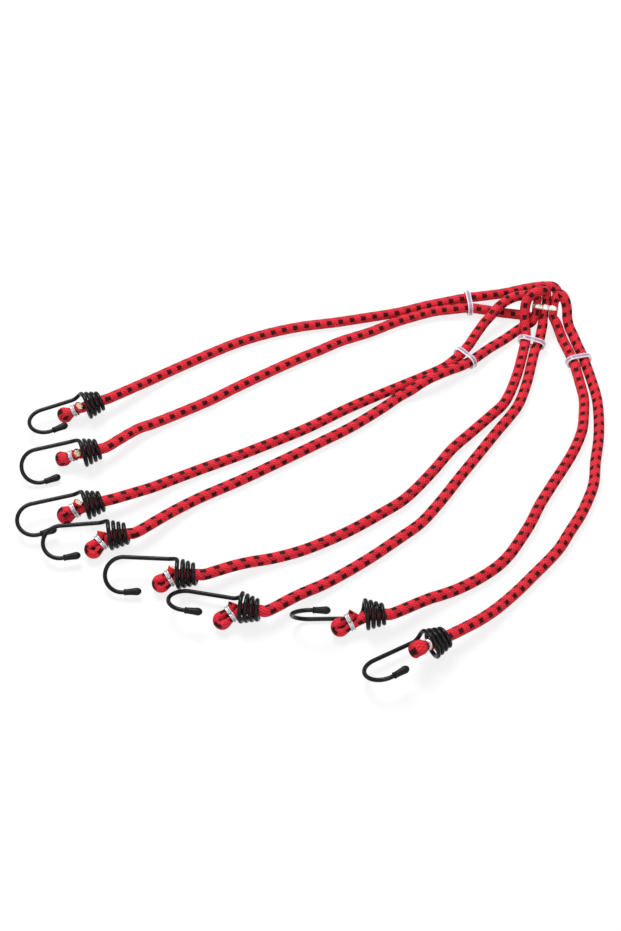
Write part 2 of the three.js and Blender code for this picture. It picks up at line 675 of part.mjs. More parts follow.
function clip({ name, arms, place }, lines) {
  const [first, second] = arms.map((arm) => nearestOn(lines[arm], place));
  const centre = first.point.clone().add(second.point).multiplyScalar(0.5);
  const across = second.point.clone().sub(first.point);
  const half = across.length() / 2;
  const along = first.direction.clone().add(second.direction);
  across.normalize();
  along.addScaledVector(across, -along.dot(across)).normalize();
  const centres = [new THREE.Vector2(-half, 0), new THREE.Vector2(half, 0)];
  const outline = outlineRound(centres, CORD_RADIUS + CLIP_CLEARANCE, CLIP_CORNER_STEPS);
  const edge = CLIP_WIDTH / 2;
  const profile = [[-edge, 0], [edge, 0], [edge, CLIP_WALL], [-edge, CLIP_WALL]];
  const group = placedGroup(centre, across, along.clone().cross(across), along);
  group.add(piece(name, band(outline, profile), 'clip'));
  return group;
}

const group = new THREE.Group();
group.add(clamp());
Object.keys(STRANDS).forEach((strand) => group.add(cordMiddle(strand)));

const lines = {};
ARMS.forEach((arm, i) => {
  const number = i + 1;
  const frame = hookFrame(arm.hook);
  const fold = foldFrame(frame);
  const points = armPoints(armCurve(arm, frame));
  lines[arm.name] = points;
  group.add(piece(`${arm.name}_cord`, tube(points, armRadii(points), CORD_SIDES), 'sheath'));
  group.add(cordEnd(number, frame, fold));
  group.add(core(number, fold));
  group.add(ring(number, fold));
  group.add(hook(number, frame, arm.hook.shankShare));
});
CLIPS.forEach((entry) => group.add(clip(entry, lines)));

console.log(`Least gap between turns of a hook's coil: ${leastCoilGap().toFixed(2)} mm`);

export default group;
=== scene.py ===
"""Eight-armed elastic luggage strap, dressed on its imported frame, in metres.

Four elastic cords are gathered in a crimped clamp, and each of their eight ends holds a coated
wire hook. The strap lies loose on a pale floor and is seen from above its front edge.
"""

import json
import random
from math import atan2, ceil, cos, exp, log, pi, radians, sin, sqrt

import bmesh
import bpy
from mathutils import Matrix, Vector
from mathutils.geometry import interpolate_bezier


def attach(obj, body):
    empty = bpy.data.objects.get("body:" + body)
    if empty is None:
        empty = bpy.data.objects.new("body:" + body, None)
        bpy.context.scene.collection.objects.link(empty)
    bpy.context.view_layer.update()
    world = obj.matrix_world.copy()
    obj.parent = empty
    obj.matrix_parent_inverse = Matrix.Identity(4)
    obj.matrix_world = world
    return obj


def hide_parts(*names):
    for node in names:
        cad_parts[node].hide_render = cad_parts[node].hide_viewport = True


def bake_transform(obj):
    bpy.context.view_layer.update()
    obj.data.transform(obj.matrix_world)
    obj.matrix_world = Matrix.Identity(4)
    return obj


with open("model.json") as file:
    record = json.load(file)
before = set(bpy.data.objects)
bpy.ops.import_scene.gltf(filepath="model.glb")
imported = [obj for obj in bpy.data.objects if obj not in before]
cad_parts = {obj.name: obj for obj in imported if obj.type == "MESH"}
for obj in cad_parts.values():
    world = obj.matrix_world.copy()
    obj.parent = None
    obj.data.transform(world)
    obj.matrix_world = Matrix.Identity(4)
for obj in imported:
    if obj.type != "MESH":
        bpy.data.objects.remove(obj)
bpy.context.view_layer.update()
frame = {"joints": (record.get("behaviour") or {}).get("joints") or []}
joints = {joint["name"]: joint for joint in frame["joints"]}
ARM_NUMBERS = range(1, 9)


# Camera: a product view from above the front edge, looking down at the middle of the layout.
# The picture is 621 by 931, upright, so the long side sets the field of view.
CAMERA_PLACE = (-0.004, -0.6889, 0.8281)
CAMERA_BELOW_LEVEL = radians(50)
CAMERA_SENSOR = 36
CAMERA_LENS = 56.3

camera_data = bpy.data.cameras.new("camera")
camera_data.sensor_fit = "VERTICAL"
camera_data.sensor_height = CAMERA_SENSOR
camera_data.sensor_width = CAMERA_SENSOR
camera_data.lens = CAMERA_LENS
camera = bpy.data.objects.new("camera", camera_data)
camera.location = CAMERA_PLACE
camera.rotation_euler = (radians(90) - CAMERA_BELOW_LEVEL, 0, 0)
bpy.context.scene.collection.objects.link(camera)
bpy.context.scene.camera = camera


# Centre clamp's frame: a strip crimped round three strands side by side and one behind them.
# Every cord passes through it, so the arms' routes start from its strands.
CLAMP_PLACE = Vector((0.183, 0.155, 0.018))
CLAMP_RISE = radians(40)
CLAMP_LEAN = radians(8)
CLAMP_WIDTH = 0.0046
STRAND_OVERHANG = 0.0018
STRAND_LEAD = 0.002
SQUEEZED_RADIUS = 0.0033
GAP = 0.0003
FRONT_ROW = 0.0028
BACK_ROW = FRONT_ROW - 2 * SQUEEZED_RADIUS - GAP
STRAND_PITCH = 2 * SQUEEZED_RADIUS + GAP
# Each strand's place across the clamp on its upper and lower side, and its row
STRANDS = {
    "a": (0.0042, -0.0026, BACK_ROW),
    "b": (-STRAND_PITCH, -STRAND_PITCH, FRONT_ROW),
    "c": (0, 0, FRONT_ROW),
    "d": (STRAND_PITCH, STRAND_PITCH, FRONT_ROW),
}

clamp_front = Vector((0, -sin(CLAMP_RISE), cos(CLAMP_RISE)))
clamp_upright = Vector((0, cos(CLAMP_RISE), sin(CLAMP_RISE)))
clamp_axis = Matrix.Rotation(-CLAMP_LEAN, 3, clamp_front) @ clamp_upright
clamp_across = clamp_axis.cross(clamp_front)
strand_half = CLAMP_WIDTH / 2 + STRAND_OVERHANG


def in_clamp(strand, reach):
    """Point on a strand's line, reach metres from the clamp's middle towards its upper side."""
    high, low, row = STRANDS[strand]
    across = (high + low) / 2 + (high - low) / (2 * strand_half) * reach
    return CLAMP_PLACE + clamp_across * across + clamp_front * row + clamp_axis * reach


# Hook frames: where each arm's coil lies, which way it points and how its wire is turned.
# The middle of the coil's large turn and its direction come from the hook's swivel.
COIL_LENGTH = 0.0135
COIL_LARGE_RADIUS = 0.01
NECK_LEAD = 0.0015
# Each hook's tip below level, the share of the full shank it has, and where its bulb lies
# along, sideways of and above the large turn's centre, in shares of that turn's radius
HOOK_SHARES = [
    (-3, 0.89, (1.45, -0.2, -0.47)),
    (36, 0.93, (1.3, -0.3, -0.48)),
    (15, 1.03, (1.38, 0.1, -0.48)),
    (15, 0.96, (1.1, 0.76, -0.49)),
    (27, 1.07, (1.06, 0.52, -0.48)),
    (-24, 1.04, (1.0, 0.92, -0.49)),
    (-70, 1.04, (1.6, 0.65, -0.48)),
    (-26, 1.04, (1.08, 0.38, 0.86)),
]


class HookFrame:
    """Where one hook lies: along its coil, towards its shank, and the fold of cord inside."""

    def __init__(self, number):
        swivel = joints[f"hook_{number}_swivel"]
        tip, self.shank_share, bulb_shares = HOOK_SHARES[number - 1]
        self.centre = Vector(swivel["pos_m"])
        self.outward = Vector(swivel["axis"]).normalized()
        sideways = Vector((-self.outward.y, self.outward.x, 0))
        self.to_shank = Vector((0, 0, sin(radians(tip)))) - sideways * cos(radians(tip))
        self.binormal = self.outward.cross(self.to_shank)
        along, aside, above = (COIL_LARGE_RADIUS * share for share in bulb_shares)
        to_bulb = self.outward * along + sideways * aside + Vector((0, 0, above))
        self.reach = to_bulb.length
        self.fold = to_bulb.normalized()
        self.cut_side = (self.outward - self.fold * self.outward.dot(self.fold)).normalized()
        self.flat = self.fold.cross(self.cut_side)

    def into(self, along):
        """Point on the coil's axis, from the large turn outwards."""
        return self.centre + self.outward * along

    def at(self, along, towards_cut):
        """Point in the fold's plane, from the large turn's centre."""
        return self.centre + self.fold * along + self.cut_side * towards_cut


hook_frames = {number: HookFrame(number) for number in ARM_NUMBERS}


# Elastic cords: a braided sheath over a rubber core, 8 mm thick, red with black dashes.
# Each arm runs from the middle of the clamp over the floor and into its hook's coil.
CORD_RADIUS = 0.004
CORD_SIDES = 28
CORD_STEP = 0.0011
SQUEEZE_TAPER = 0.009
# The strand that each arm belongs to, 1 for the clamp's upper side and -1 for its lower side,
# and the point of its route past which it gives when the arm is stretched
ARM_STRANDS = [
    ("a", 1, 12), ("a", -1, 9), ("b", 1, 15), ("b", -1, 15),
    ("c", 1, 21), ("c", -1, 10), ("d", -1, 14), ("d", 1, 16),
]
# How far each arm's rows of dashes are turned round it, in degrees, and their spacing along it
DASHES = [
    (-45, 0.0093), (-47, 0.0094), (88, 0.0095), (66, 0.0098),
    (82, 0.0098), (60, 0.0099), (70, 0.0092), (39, 0.0086),
]
# Points that each arm passes through on its way from the clamp to its coil. Where one has no
# height, the cord lies on the floor.
ROUTES = {
    "arm_1": [
        (0.1906, 0.1626, 0.0178), (0.1936, 0.166, 0.0204), (0.1936, 0.1696, 0.0234),
        (0.1906, 0.173, 0.0244), (0.185, 0.176, 0.022), (0.1776, 0.1816, 0.0158),
        (0.1675, 0.1856, 0.0094), (0.154, 0.1845, 0.0064), (0.135, 0.181, 0.0063),
        (0.124, 0.179, 0.0065), (0.11, 0.1764, 0.0054), (0.089, 0.1718), (0.068, 0.1646),
        (0.044, 0.159), (0.016, 0.153), (-0.012, 0.148), (-0.036, 0.141), (-0.06, 0.131),
        (-0.083, 0.118), (-0.107, 0.103), (-0.1328, 0.083, 0.0072), (-0.1414, 0.0758, 0.0089),
        (-0.151, 0.0681, 0.0105), (-0.1574, 0.0634, 0.0113),
    ],
    "arm_2": [
        (0.177, 0.1534, 0.0104), (0.173, 0.1554, 0.0076), (0.166, 0.161, 0.0046),
        (0.15, 0.164, 0.0044), (0.134, 0.166, 0.0061), (0.123, 0.167, 0.0066),
        (0.111, 0.166, 0.0061), (0.097, 0.1644, 0.0054), (0.08, 0.159, 0.0048), (0.065, 0.1534),
        (0.044, 0.142), (0.019, 0.131), (0.004, 0.122), (-0.012, 0.113), (-0.036, 0.098),
        (-0.059, 0.083), (-0.081, 0.068), (-0.103, 0.055), (-0.1249, 0.0413, 0.0058),
        (-0.1317, 0.037, 0.0072), (-0.1398, 0.0294, 0.0089), (-0.1485, 0.0204, 0.0105),
        (-0.1542, 0.0147, 0.0113),
    ],
    "arm_3": [
        (0.175, 0.162, 0.0252), (0.1726, 0.1644, 0.0234), (0.171, 0.166, 0.022),
        (0.167, 0.168, 0.0196), (0.162, 0.169, 0.0175), (0.155, 0.167, 0.0155),
        (0.147, 0.16, 0.0145), (0.141, 0.153, 0.0123), (0.135, 0.147, 0.0092),
        (0.1275, 0.136, 0.0068), (0.1216, 0.1256, 0.0063), (0.1154, 0.1166, 0.0063),
        (0.1086, 0.109, 0.0058), (0.1, 0.1024), (0.085, 0.0934), (0.065, 0.0824), (0.046, 0.072),
        (0.022, 0.058), (-0.004, 0.041), (-0.031, 0.026), (-0.056, 0.013), (-0.085, -0.001),
        (-0.1069, -0.0127, 0.0049), (-0.1189, -0.0208, 0.0072), (-0.1286, -0.0262, 0.0089),
        (-0.1396, -0.0319, 0.0105), (-0.1469, -0.0353, 0.0113),
    ],
    "arm_4": [
        (0.1744, 0.148, 0.0152), (0.1725, 0.1463, 0.0112), (0.168, 0.1466, 0.0072),
        (0.162, 0.1435, 0.0048), (0.151, 0.134, 0.0042), (0.138, 0.123, 0.0052),
        (0.13, 0.115, 0.0061), (0.122, 0.1078, 0.0064), (0.1135, 0.1014, 0.007),
        (0.105, 0.096, 0.0086), (0.096, 0.0904, 0.0096), (0.088, 0.0856, 0.0096),
        (0.081, 0.0814, 0.0082), (0.0736, 0.077, 0.0058), (0.065, 0.072, 0.0042), (0.05, 0.059),
        (0.026, 0.04), (0.003, 0.025), (-0.027, 0.006), (-0.056, -0.012), (-0.084, -0.028, 0.0041),
        (-0.1034, -0.0436, 0.0072), (-0.1116, -0.0513, 0.0089), (-0.1207, -0.0599, 0.0105),
        (-0.1268, -0.065, 0.0113),
    ],
    "arm_5": [
        (0.184, 0.1594, 0.0258), (0.1832, 0.1608, 0.0296), (0.1794, 0.1596, 0.0324),
        (0.175, 0.1574, 0.033), (0.1706, 0.1562, 0.0304), (0.1678, 0.1542, 0.0272),
        (0.1666, 0.1512, 0.0234), (0.1663, 0.147, 0.0188), (0.1664, 0.142, 0.0144),
        (0.167, 0.137, 0.0103), (0.1668, 0.131, 0.0079), (0.165, 0.123, 0.0058),
        (0.162, 0.112, 0.0044), (0.157, 0.095), (0.149, 0.074), (0.143, 0.063), (0.134, 0.053),
        (0.118, 0.036), (0.102, 0.019), (0.086, -0.003), (0.07, -0.023), (0.061, -0.032),
        (0.046, -0.043), (0.024, -0.058), (0.004, -0.069), (-0.011, -0.076),
        (-0.029, -0.0823, 0.0044), (-0.0474, -0.0883, 0.0072), (-0.0576, -0.0925, 0.0089),
        (-0.0688, -0.0979, 0.0105), (-0.0762, -0.1013, 0.0113),
    ],
    "arm_6": [
        (0.1815, 0.1466, 0.0144), (0.1808, 0.1422, 0.0108), (0.1792, 0.136, 0.0082),
        (0.177, 0.128, 0.0068), (0.173, 0.1195, 0.005), (0.17, 0.109), (0.164, 0.087),
        (0.155, 0.063), (0.146, 0.049), (0.138, 0.038), (0.122, 0.015), (0.106, -0.008),
        (0.089, -0.033), (0.075, -0.051), (0.06, -0.064), (0.038, -0.082), (0.017, -0.097),
        (0.003, -0.1067, 0.0052), (-0.0069, -0.1131, 0.0072), (-0.0161, -0.1195, 0.0089),
        (-0.0261, -0.1271, 0.0105), (-0.0328, -0.1316, 0.0113),
    ],
    "arm_7": [
        (0.1905, 0.1456, 0.014), (0.1928, 0.1412, 0.011), (0.1944, 0.136, 0.0088),
        (0.1964, 0.129, 0.007), (0.199, 0.121, 0.006), (0.201, 0.111, 0.0065),
        (0.203, 0.101, 0.0058), (0.205, 0.086), (0.206, 0.07), (0.204, 0.053), (0.201, 0.038),
        (0.196, 0.025), (0.189, 0.011), (0.172, -0.017), (0.162, -0.034), (0.153, -0.052),
        (0.144, -0.067), (0.136, -0.079), (0.127, -0.089), (0.114, -0.099),
        (0.099, -0.1081, 0.0042), (0.0848, -0.1154, 0.006), (0.0792, -0.1181, 0.0072),
        (0.0694, -0.1237, 0.0089), (0.0587, -0.1301, 0.0105), (0.0516, -0.1339, 0.0113),
    ],
    "arm_8": [
        (0.192, 0.1587, 0.025), (0.1939, 0.1606, 0.0277), (0.196, 0.1592, 0.0282),
        (0.1986, 0.1556, 0.0254), (0.2, 0.151, 0.021), (0.2002, 0.1455, 0.0166),
        (0.2015, 0.139, 0.0129), (0.2042, 0.132, 0.0102), (0.207, 0.123, 0.0078),
        (0.2098, 0.113, 0.0067), (0.2118, 0.102, 0.0058), (0.2145, 0.087), (0.216, 0.07),
        (0.215, 0.05), (0.212, 0.028), (0.207, 0.006), (0.203, -0.015), (0.197, -0.03),
        (0.19, -0.044), (0.18, -0.06), (0.172, -0.073), (0.163, -0.084), (0.151, -0.097),
        (0.139, -0.11), (0.1249, -0.1243, 0.0055), (0.1175, -0.1313, 0.0072),
        (0.1087, -0.1385, 0.0089), (0.0986, -0.1455, 0.0105), (0.0919, -0.1498, 0.0113),
    ],
}


def through(stops, step):
    """Centripetal Catmull-Rom curve through stops, whose first three numbers are a place. Its
    points are at most step apart."""
    stops = [Vector(stop) for stop in stops]
    before, after = stops[0] * 2 - stops[1], stops[-1] * 2 - stops[-2]
    padded = [before, *stops, after]
    found = [stops[0]]
    for p0, p1, p2, p3 in zip(padded, padded[1:], padded[2:], padded[3:]):
        t0, t1, t2 = (sqrt((b - a).to_3d().length) for a, b in ((p0, p1), (p1, p2), (p2, p3)))
        leave = ((p1 - p0) / t0 - (p2 - p0) / (t0 + t1) + (p2 - p1) / t1) * t1
        arrive = ((p2 - p1) / t1 - (p3 - p1) / (t1 + t2) + (p3 - p2) / t2) * t1
        steps = ceil((p2 - p1).to_3d().length / step)
        for i in range(1, steps + 1):
            t = i / steps
            rise = t * t * (3 - 2 * t)
            found.append(
                p1 * (1 - rise) + p2 * rise
                + leave * (t * (1 - t) * (1 - t)) - arrive * (t * t * (1 - t))
            )
    return found


def lengths_along(points):
    """Distance of each point from the first, along the line."""
    found = [0]
    for a, b in zip(points, points[1:]):
        found.append(found[-1] + (b - a).length)
    return found


def directions(points):
    """Unit direction of the line at each of its points."""
    ends = [points[0], *points, points[-1]]
    return [(b - a).normalized() for a, b in zip(ends, ends[2:])]


def square_to(way, vector):
    """Unit vector square to a direction, as near as it gets to another vector."""
    return (vector - way * vector.dot(way)).normalized()


def carried_normals(ahead, up):
    """Normals that don't twist along the directions, facing up at their middle."""
    middle = len(ahead) // 2
    normals = {middle: square_to(ahead[middle], up)}
    for i in range(middle + 1, len(ahead)):
        normals[i] = square_to(ahead[i], normals[i - 1])
    for i in range(middle - 1, -1, -1):
        normals[i] = square_to(ahead[i], normals[i + 1])
    return [normals[i] for i in range(len(ahead))]


def station(place, normal, ahead, width=1, height=1):
    """Matrix that sets a profile square to a line, X along the normal."""
    columns = (normal * width, ahead.cross(normal) * height, ahead)
    return Matrix.Translation(place) @ Matrix(columns).transposed().to_4x4()


def circle(sides):
    """Round profile of radius 1."""
    return [(cos(2 * pi * k / sides), sin(2 * pi * k / sides)) for k in range(sides)]


def sweep(bm, profile, stations, closed=False, weave=None):
    """Extrudes a profile from station to station. weave gives each one's place along an arm, the
    angle its rows of dashes are turned by, and 1 or -1 for the cord's way through the clamp."""
    start = [bm.verts.new(stations[0] @ Vector((x, y, 0))) for x, y in profile]
    edges = [bm.edges.new(pair) for pair in zip(start, start[1:] + start[:1])]
    if weave:
        layer = bm.verts.layers.float_vector["weave"]
        alongs, turn, side = weave
        for vert, (x, y) in zip(start, profile):
            angle = atan2(y, x) + turn
            vert[layer] = (side * alongs[0], cos(angle), side * sin(angle))
    if not closed:
        bmesh.ops.contextual_create(bm, geom=start)
    for i in range(1, len(stations)):
        made = bmesh.ops.extrude_edge_only(bm, edges=edges)["geom"]
        verts = [part for part in made if isinstance(part, bmesh.types.BMVert)]
        edges = [part for part in made if isinstance(part, bmesh.types.BMEdge) and part.is_boundary]
        move = stations[i] @ stations[i - 1].inverted()
        bmesh.ops.transform(bm, matrix=move, verts=verts)
        if weave:
            for vert in verts:
                vert[layer] = (side * alongs[i], *vert[layer][1:])
    if not closed:
        bmesh.ops.contextual_create(bm, geom=verts)


def finished(name, bm, material):
    """Object made of a mesh in place, smooth, with its faces outwards."""
    bmesh.ops.remove_doubles(bm, verts=bm.verts, dist=0.000001)
    bmesh.ops.recalc_face_normals(bm, faces=bm.faces)
    for face in bm.faces:
        face.smooth = True
    mesh = bpy.data.meshes.new(name)
    bm.to_mesh(mesh)
    bm.free()
    mesh.materials.append(material)
    piece = bpy.data.objects.new(name, mesh)
    bpy.context.scene.collection.objects.link(piece)
    return piece


class Signal:
    """One shader value. Arithmetic on it adds Math nodes to its tree."""

    def __init__(self, nodes, socket):
        self.nodes, self.socket = nodes, socket

    def __add__(self, other):
        return self.nodes.math("ADD", self, other)

    def __sub__(self, other):
        return self.nodes.math("SUBTRACT", self, other)

    def __rsub__(self, other):
        return self.nodes.math("SUBTRACT", other, self)

    def __mul__(self, other):
        return self.nodes.math("MULTIPLY", self, other)

    def __truediv__(self, other):
        return self.nodes.math("DIVIDE", self, other)

    def __abs__(self):
        return self.nodes.math("ABSOLUTE", self)

    def fract(self):
        return self.nodes.math("FRACT", self)

    def floor(self):
        return self.nodes.math("FLOOR", self)

    def sine(self):
        return self.nodes.math("SINE", self)

    def below(self, edge, soft):
        """1 below the edge and 0 above it, turning smoothly over the soft width."""
        smooth = {"interpolation_type": "SMOOTHSTEP"}
        values = {0: self, 1: edge - soft, 2: edge + soft, 3: 1, 4: 0}
        return self.nodes.add("ShaderNodeMapRange", smooth, values)

    __radd__, __rmul__ = __add__, __mul__


class Nodes:
    """A node tree, with one method that adds any node to it."""

    def __init__(self, tree):
        self.tree = tree

    def feed(self, socket, value):
        """Links a signal to a socket, or sets a plain value on it."""
        if isinstance(value, Signal):
            self.tree.links.new(value.socket, socket)
        else:
            socket.default_value = value

    def add(self, kind, settings, values, output=0):
        """Adds a node with its settings, then its sockets' values, and gives one output."""
        node = self.tree.nodes.new(kind)
        for name, value in settings.items():
            setattr(node, name, value)
        for name, value in values.items():
            self.feed(node.inputs[name], value)
        return Signal(self, node.outputs[output])

    def math(self, operation, *values):
        return self.add("ShaderNodeMath", {"operation": operation}, dict(enumerate(values)))

    def mix(self, share, first, second):
        """Colour between two, by a share from 0 to 1."""
        values = {0: share, 6: first, 7: second}
        return self.add("ShaderNodeMix", {"data_type": "RGBA"}, values, output=2)

    def noise(self, per_metre, detail):
        """Noise over the piece's place, from 0 to 1, with so many lumps to the metre."""
        place = self.add("ShaderNodeTexCoord", {}, {}, output="Object")
        values = {"Vector": place, "Scale": per_metre, "Detail": detail}
        return self.add("ShaderNodeTexNoise", {}, values)

    def varied(self, middle, *parts):
        """Value that each noise moves off its middle, by up to half of that noise's spread."""
        for noise, spread in parts:
            middle = (noise - 0.5) * spread + middle
        return middle

    def bump(self, height, distance, strength=0.5):
        """Normal of a surface whose height of 1 is a distance in metres."""
        values = {"Height": height, "Distance": distance, "Strength": strength}
        return self.add("ShaderNodeBump", {}, values)


class Finish(Nodes):
    """The nodes of one material, with its surface shader."""

    def __init__(self, name, **sockets):
        self.material = bpy.data.materials.new(name)
        self.material.use_nodes = True
        super().__init__(self.material.node_tree)
        self.shader = self.tree.nodes["Principled BSDF"]
        self.set(**sockets)

    def set(self, **sockets):
        """Gives the surface shader's sockets values or signals, as base_color=..."""
        for name, value in sockets.items():
            title = name.replace("_", " ").title().replace("Ior", "IOR")
            self.feed(self.shader.inputs[title], value)


# Rows of dashes along the sheath, the yarns of its braid with their threads, and a band of
# duller red that winds round between the dashes
DASH_ROWS = 4
DASH_PERIOD = 0.0089
DASH_LENGTH = 0.0036
DASH_WIDTH = 0.0035
DASH_SOFT = 0.0002
DASH_RAGGED = 0.00012
BRAID_YARNS = 12
BRAID_LAY = DASH_PERIOD / 3
YARN_THREADS = 4
YARN_RIDGE = 0.00022
BAND_LENGTH = 0.0042
BAND_SOFT = 0.0007
BAND_SHARE = 0.42
FIBRES_PER_METRE = 900
WORN_SPOTS_PER_METRE = 45
# How much deeper the red gets in the grooves, as painted shade, in the fibres and in worn
# spots, and how far threads and fibres stand out, as shares of a yarn's own height
GROOVE_SHADE = 1.15
FIBRE_SHADE = 0.35
WORN_SHADE = 0.3
SHADE_FROM = 0.24
THREAD_RIDGE_SHARE = 0.12
FIBRE_RIDGE_SHARE = 0.15
SHEATH_RED = (0.84, 0.040, 0.062, 1)
# Red of the painted shade in the grooves, and of the fibres' grain and worn spots
SHEATH_GROOVE_SHADE_AND_WEAR_RED = (0.38, 0.004, 0.012, 1)
BAND_DULL_RED = (0.26, 0.012, 0.026, 1)
DASH_BLACK = (0.034, 0.004, 0.003, 1)


def yarn_ridge(lane):
    """Height of the yarns that run one way round, from 0 in their grooves to 1."""
    off_middle = abs(lane.fract() * 2 - 1)
    return 1 - lane.nodes.math("POWER", off_middle, 2)


def yarn_threads(lane):
    """Ripple of the threads that make up those yarns, from -1 to 1."""
    return (lane * (2 * pi * YARN_THREADS)).sine()


def sheath_finish():
    """Braid of yarns that pass over and under each other, drawn along the cord by its weave."""
    sheath = Finish("braided_sheath", roughness=0.55, specular_ior_level=0.08)
    weave = sheath.add("ShaderNodeAttribute", {"attribute_name": "weave"}, {}, output="Vector")
    along, level, aside = (
        sheath.add("ShaderNodeSeparateXYZ", {}, {0: weave}, output=axis) for axis in "XYZ"
    )
    turn = sheath.math("ARCTAN2", aside, level) / (2 * pi)
    row_width = 2 * pi * CORD_RADIUS / DASH_ROWS
    row = (turn * DASH_ROWS + 0.5).floor()
    across = abs(turn * DASH_ROWS - row) * row_width
    beat = along / DASH_PERIOD
    within = abs((beat - row / DASH_ROWS).fract() - 0.5) * DASH_PERIOD
    around = abs((beat - turn).fract() - 0.5) * DASH_PERIOD

    left = turn * BRAID_YARNS + along / BRAID_LAY
    right = turn * BRAID_YARNS - along / BRAID_LAY
    over = ((left.floor() + right.floor()) / 2).fract() * 2
    ridge = yarn_ridge(left) * over + yarn_ridge(right) * (1 - over)
    threads = yarn_threads(left) * over + yarn_threads(right) * (1 - over)

    ragged = threads * DASH_RAGGED
    dash = (across + ragged).below(DASH_WIDTH / 2, DASH_SOFT)
    dash *= (within + ragged).below(DASH_LENGTH / 2, DASH_SOFT)
    grain = sheath.noise(FIBRES_PER_METRE, detail=3)
    worn = sheath.noise(WORN_SPOTS_PER_METRE, detail=2)
    # Painted shade in the grooves between yarns, with the fibres' grain and worn spots, deepens the
    # red
    depth = (1 - ridge) * GROOVE_SHADE + grain * FIBRE_SHADE + worn * WORN_SHADE - SHADE_FROM
    band = around.below(BAND_LENGTH / 2, BAND_SOFT)
    red = sheath.mix(depth, SHEATH_RED, SHEATH_GROOVE_SHADE_AND_WEAR_RED)
    red = sheath.mix(band * BAND_SHARE, red, BAND_DULL_RED)
    sheath.set(base_color=sheath.mix(dash, red, DASH_BLACK))
    height = ridge + threads * THREAD_RIDGE_SHARE + grain * FIBRE_RIDGE_SHARE
    sheath.set(normal=sheath.bump(height, YARN_RIDGE, strength=0.6))
    return sheath.material


sheath_material = sheath_finish()


def arm_route(number):
    """An arm's route, with the cord's own radius as the height of its points on the floor."""
    return [(*point, CORD_RADIUS)[:3] for point in ROUTES[f"arm_{number}"]]


def squeezed(distance):
    """Radius at a distance from the clamp's strand: squeezed there, and full past its taper."""
    share = min(max((distance - strand_half) / SQUEEZE_TAPER, 0), 1)
    return SQUEEZED_RADIUS + (CORD_RADIUS - SQUEEZED_RADIUS) * share * share * (3 - 2 * share)


def arm_line(number):
    """Centreline of an arm, from the clamp's middle to just inside its fold."""
    strand, side, _ = ARM_STRANDS[number - 1]
    hook = hook_frames[number]
    neck = -COIL_LENGTH - NECK_LEAD - GAP
    starts = [0, strand_half / 2, strand_half + GAP, strand_half + GAP + STRAND_LEAD]
    stops = [
        *(in_clamp(strand, side * reach) for reach in starts),
        *arm_route(number),
        hook.into(neck - CORD_RADIUS / 2), hook.into(neck),
        hook.into(neck / 2), hook.into(-CORD_RADIUS),
    ]
    return through(stops, CORD_STEP)


def arm_sheath(number):
    """Sheath of an arm, its line, and the normal and length at which its fold goes on."""
    _, side, _ = ARM_STRANDS[number - 1]
    line = arm_line(number)
    alongs = lengths_along(line)
    ahead = directions(line)
    normals = carried_normals(ahead, Vector((0, 0, 1)))
    stations = []
    for place, normal, way, along in zip(line, normals, ahead, alongs):
        radius = squeezed(along)
        stations.append(station(place, normal, way, radius, radius))
    bm = bmesh.new()
    bm.verts.layers.float_vector.new("weave")
    row_turn, period = DASHES[number - 1]
    pace = DASH_PERIOD / period
    weave = ([along * pace for along in alongs], radians(row_turn), side)
    sweep(bm, circle(CORD_SIDES), stations, weave=weave)
    sheath = finished(f"arm_{number}_sheath", bm, sheath_material)
    return sheath, line, (normals[-1], alongs[-1])


sheaths, sheath_lines, sheath_ends = {}, {}, {}
for number in ARM_NUMBERS:
    sheaths[number], sheath_lines[number], sheath_ends[number] = arm_sheath(number)


# Folded end of each cord: past the coil the cord is pinched in a ring, folded back tightly on
# itself into a round bulb and pinched in the ring again, so its cut end lies in the coil.
FOLD_SIDES = 36
FOLD_STEP = 0.0005
RING_WIDTH = 0.0032
RING_MARGIN = 0.0006
PINCH_OFFSET = 0.0026
PINCH_HALF_WIDTH = 0.00274
PINCH_HALF_THICKNESS = 0.0028
INCOMING_OFFSET = 0.0018
INCOMING_RADIUS = 0.0036
BULB_CENTRE = 0.0072
BULB_LENGTH = 0.0118
BULB_OFFSET = 0.0031
BULB_PRESS = 0.0003
BULB_HALF_THICKNESS = 0.0052
BEND_DEGREES = range(0, 181, 20)
CUT_SETBACK = 0.0054
CUT_OFFSET = 0.0046
CUT_RADIUS = 0.0037
SHEATH_WALL = 0.0007
CUT_ROUND = 0.00025
CUT_RECESS = 0.0012


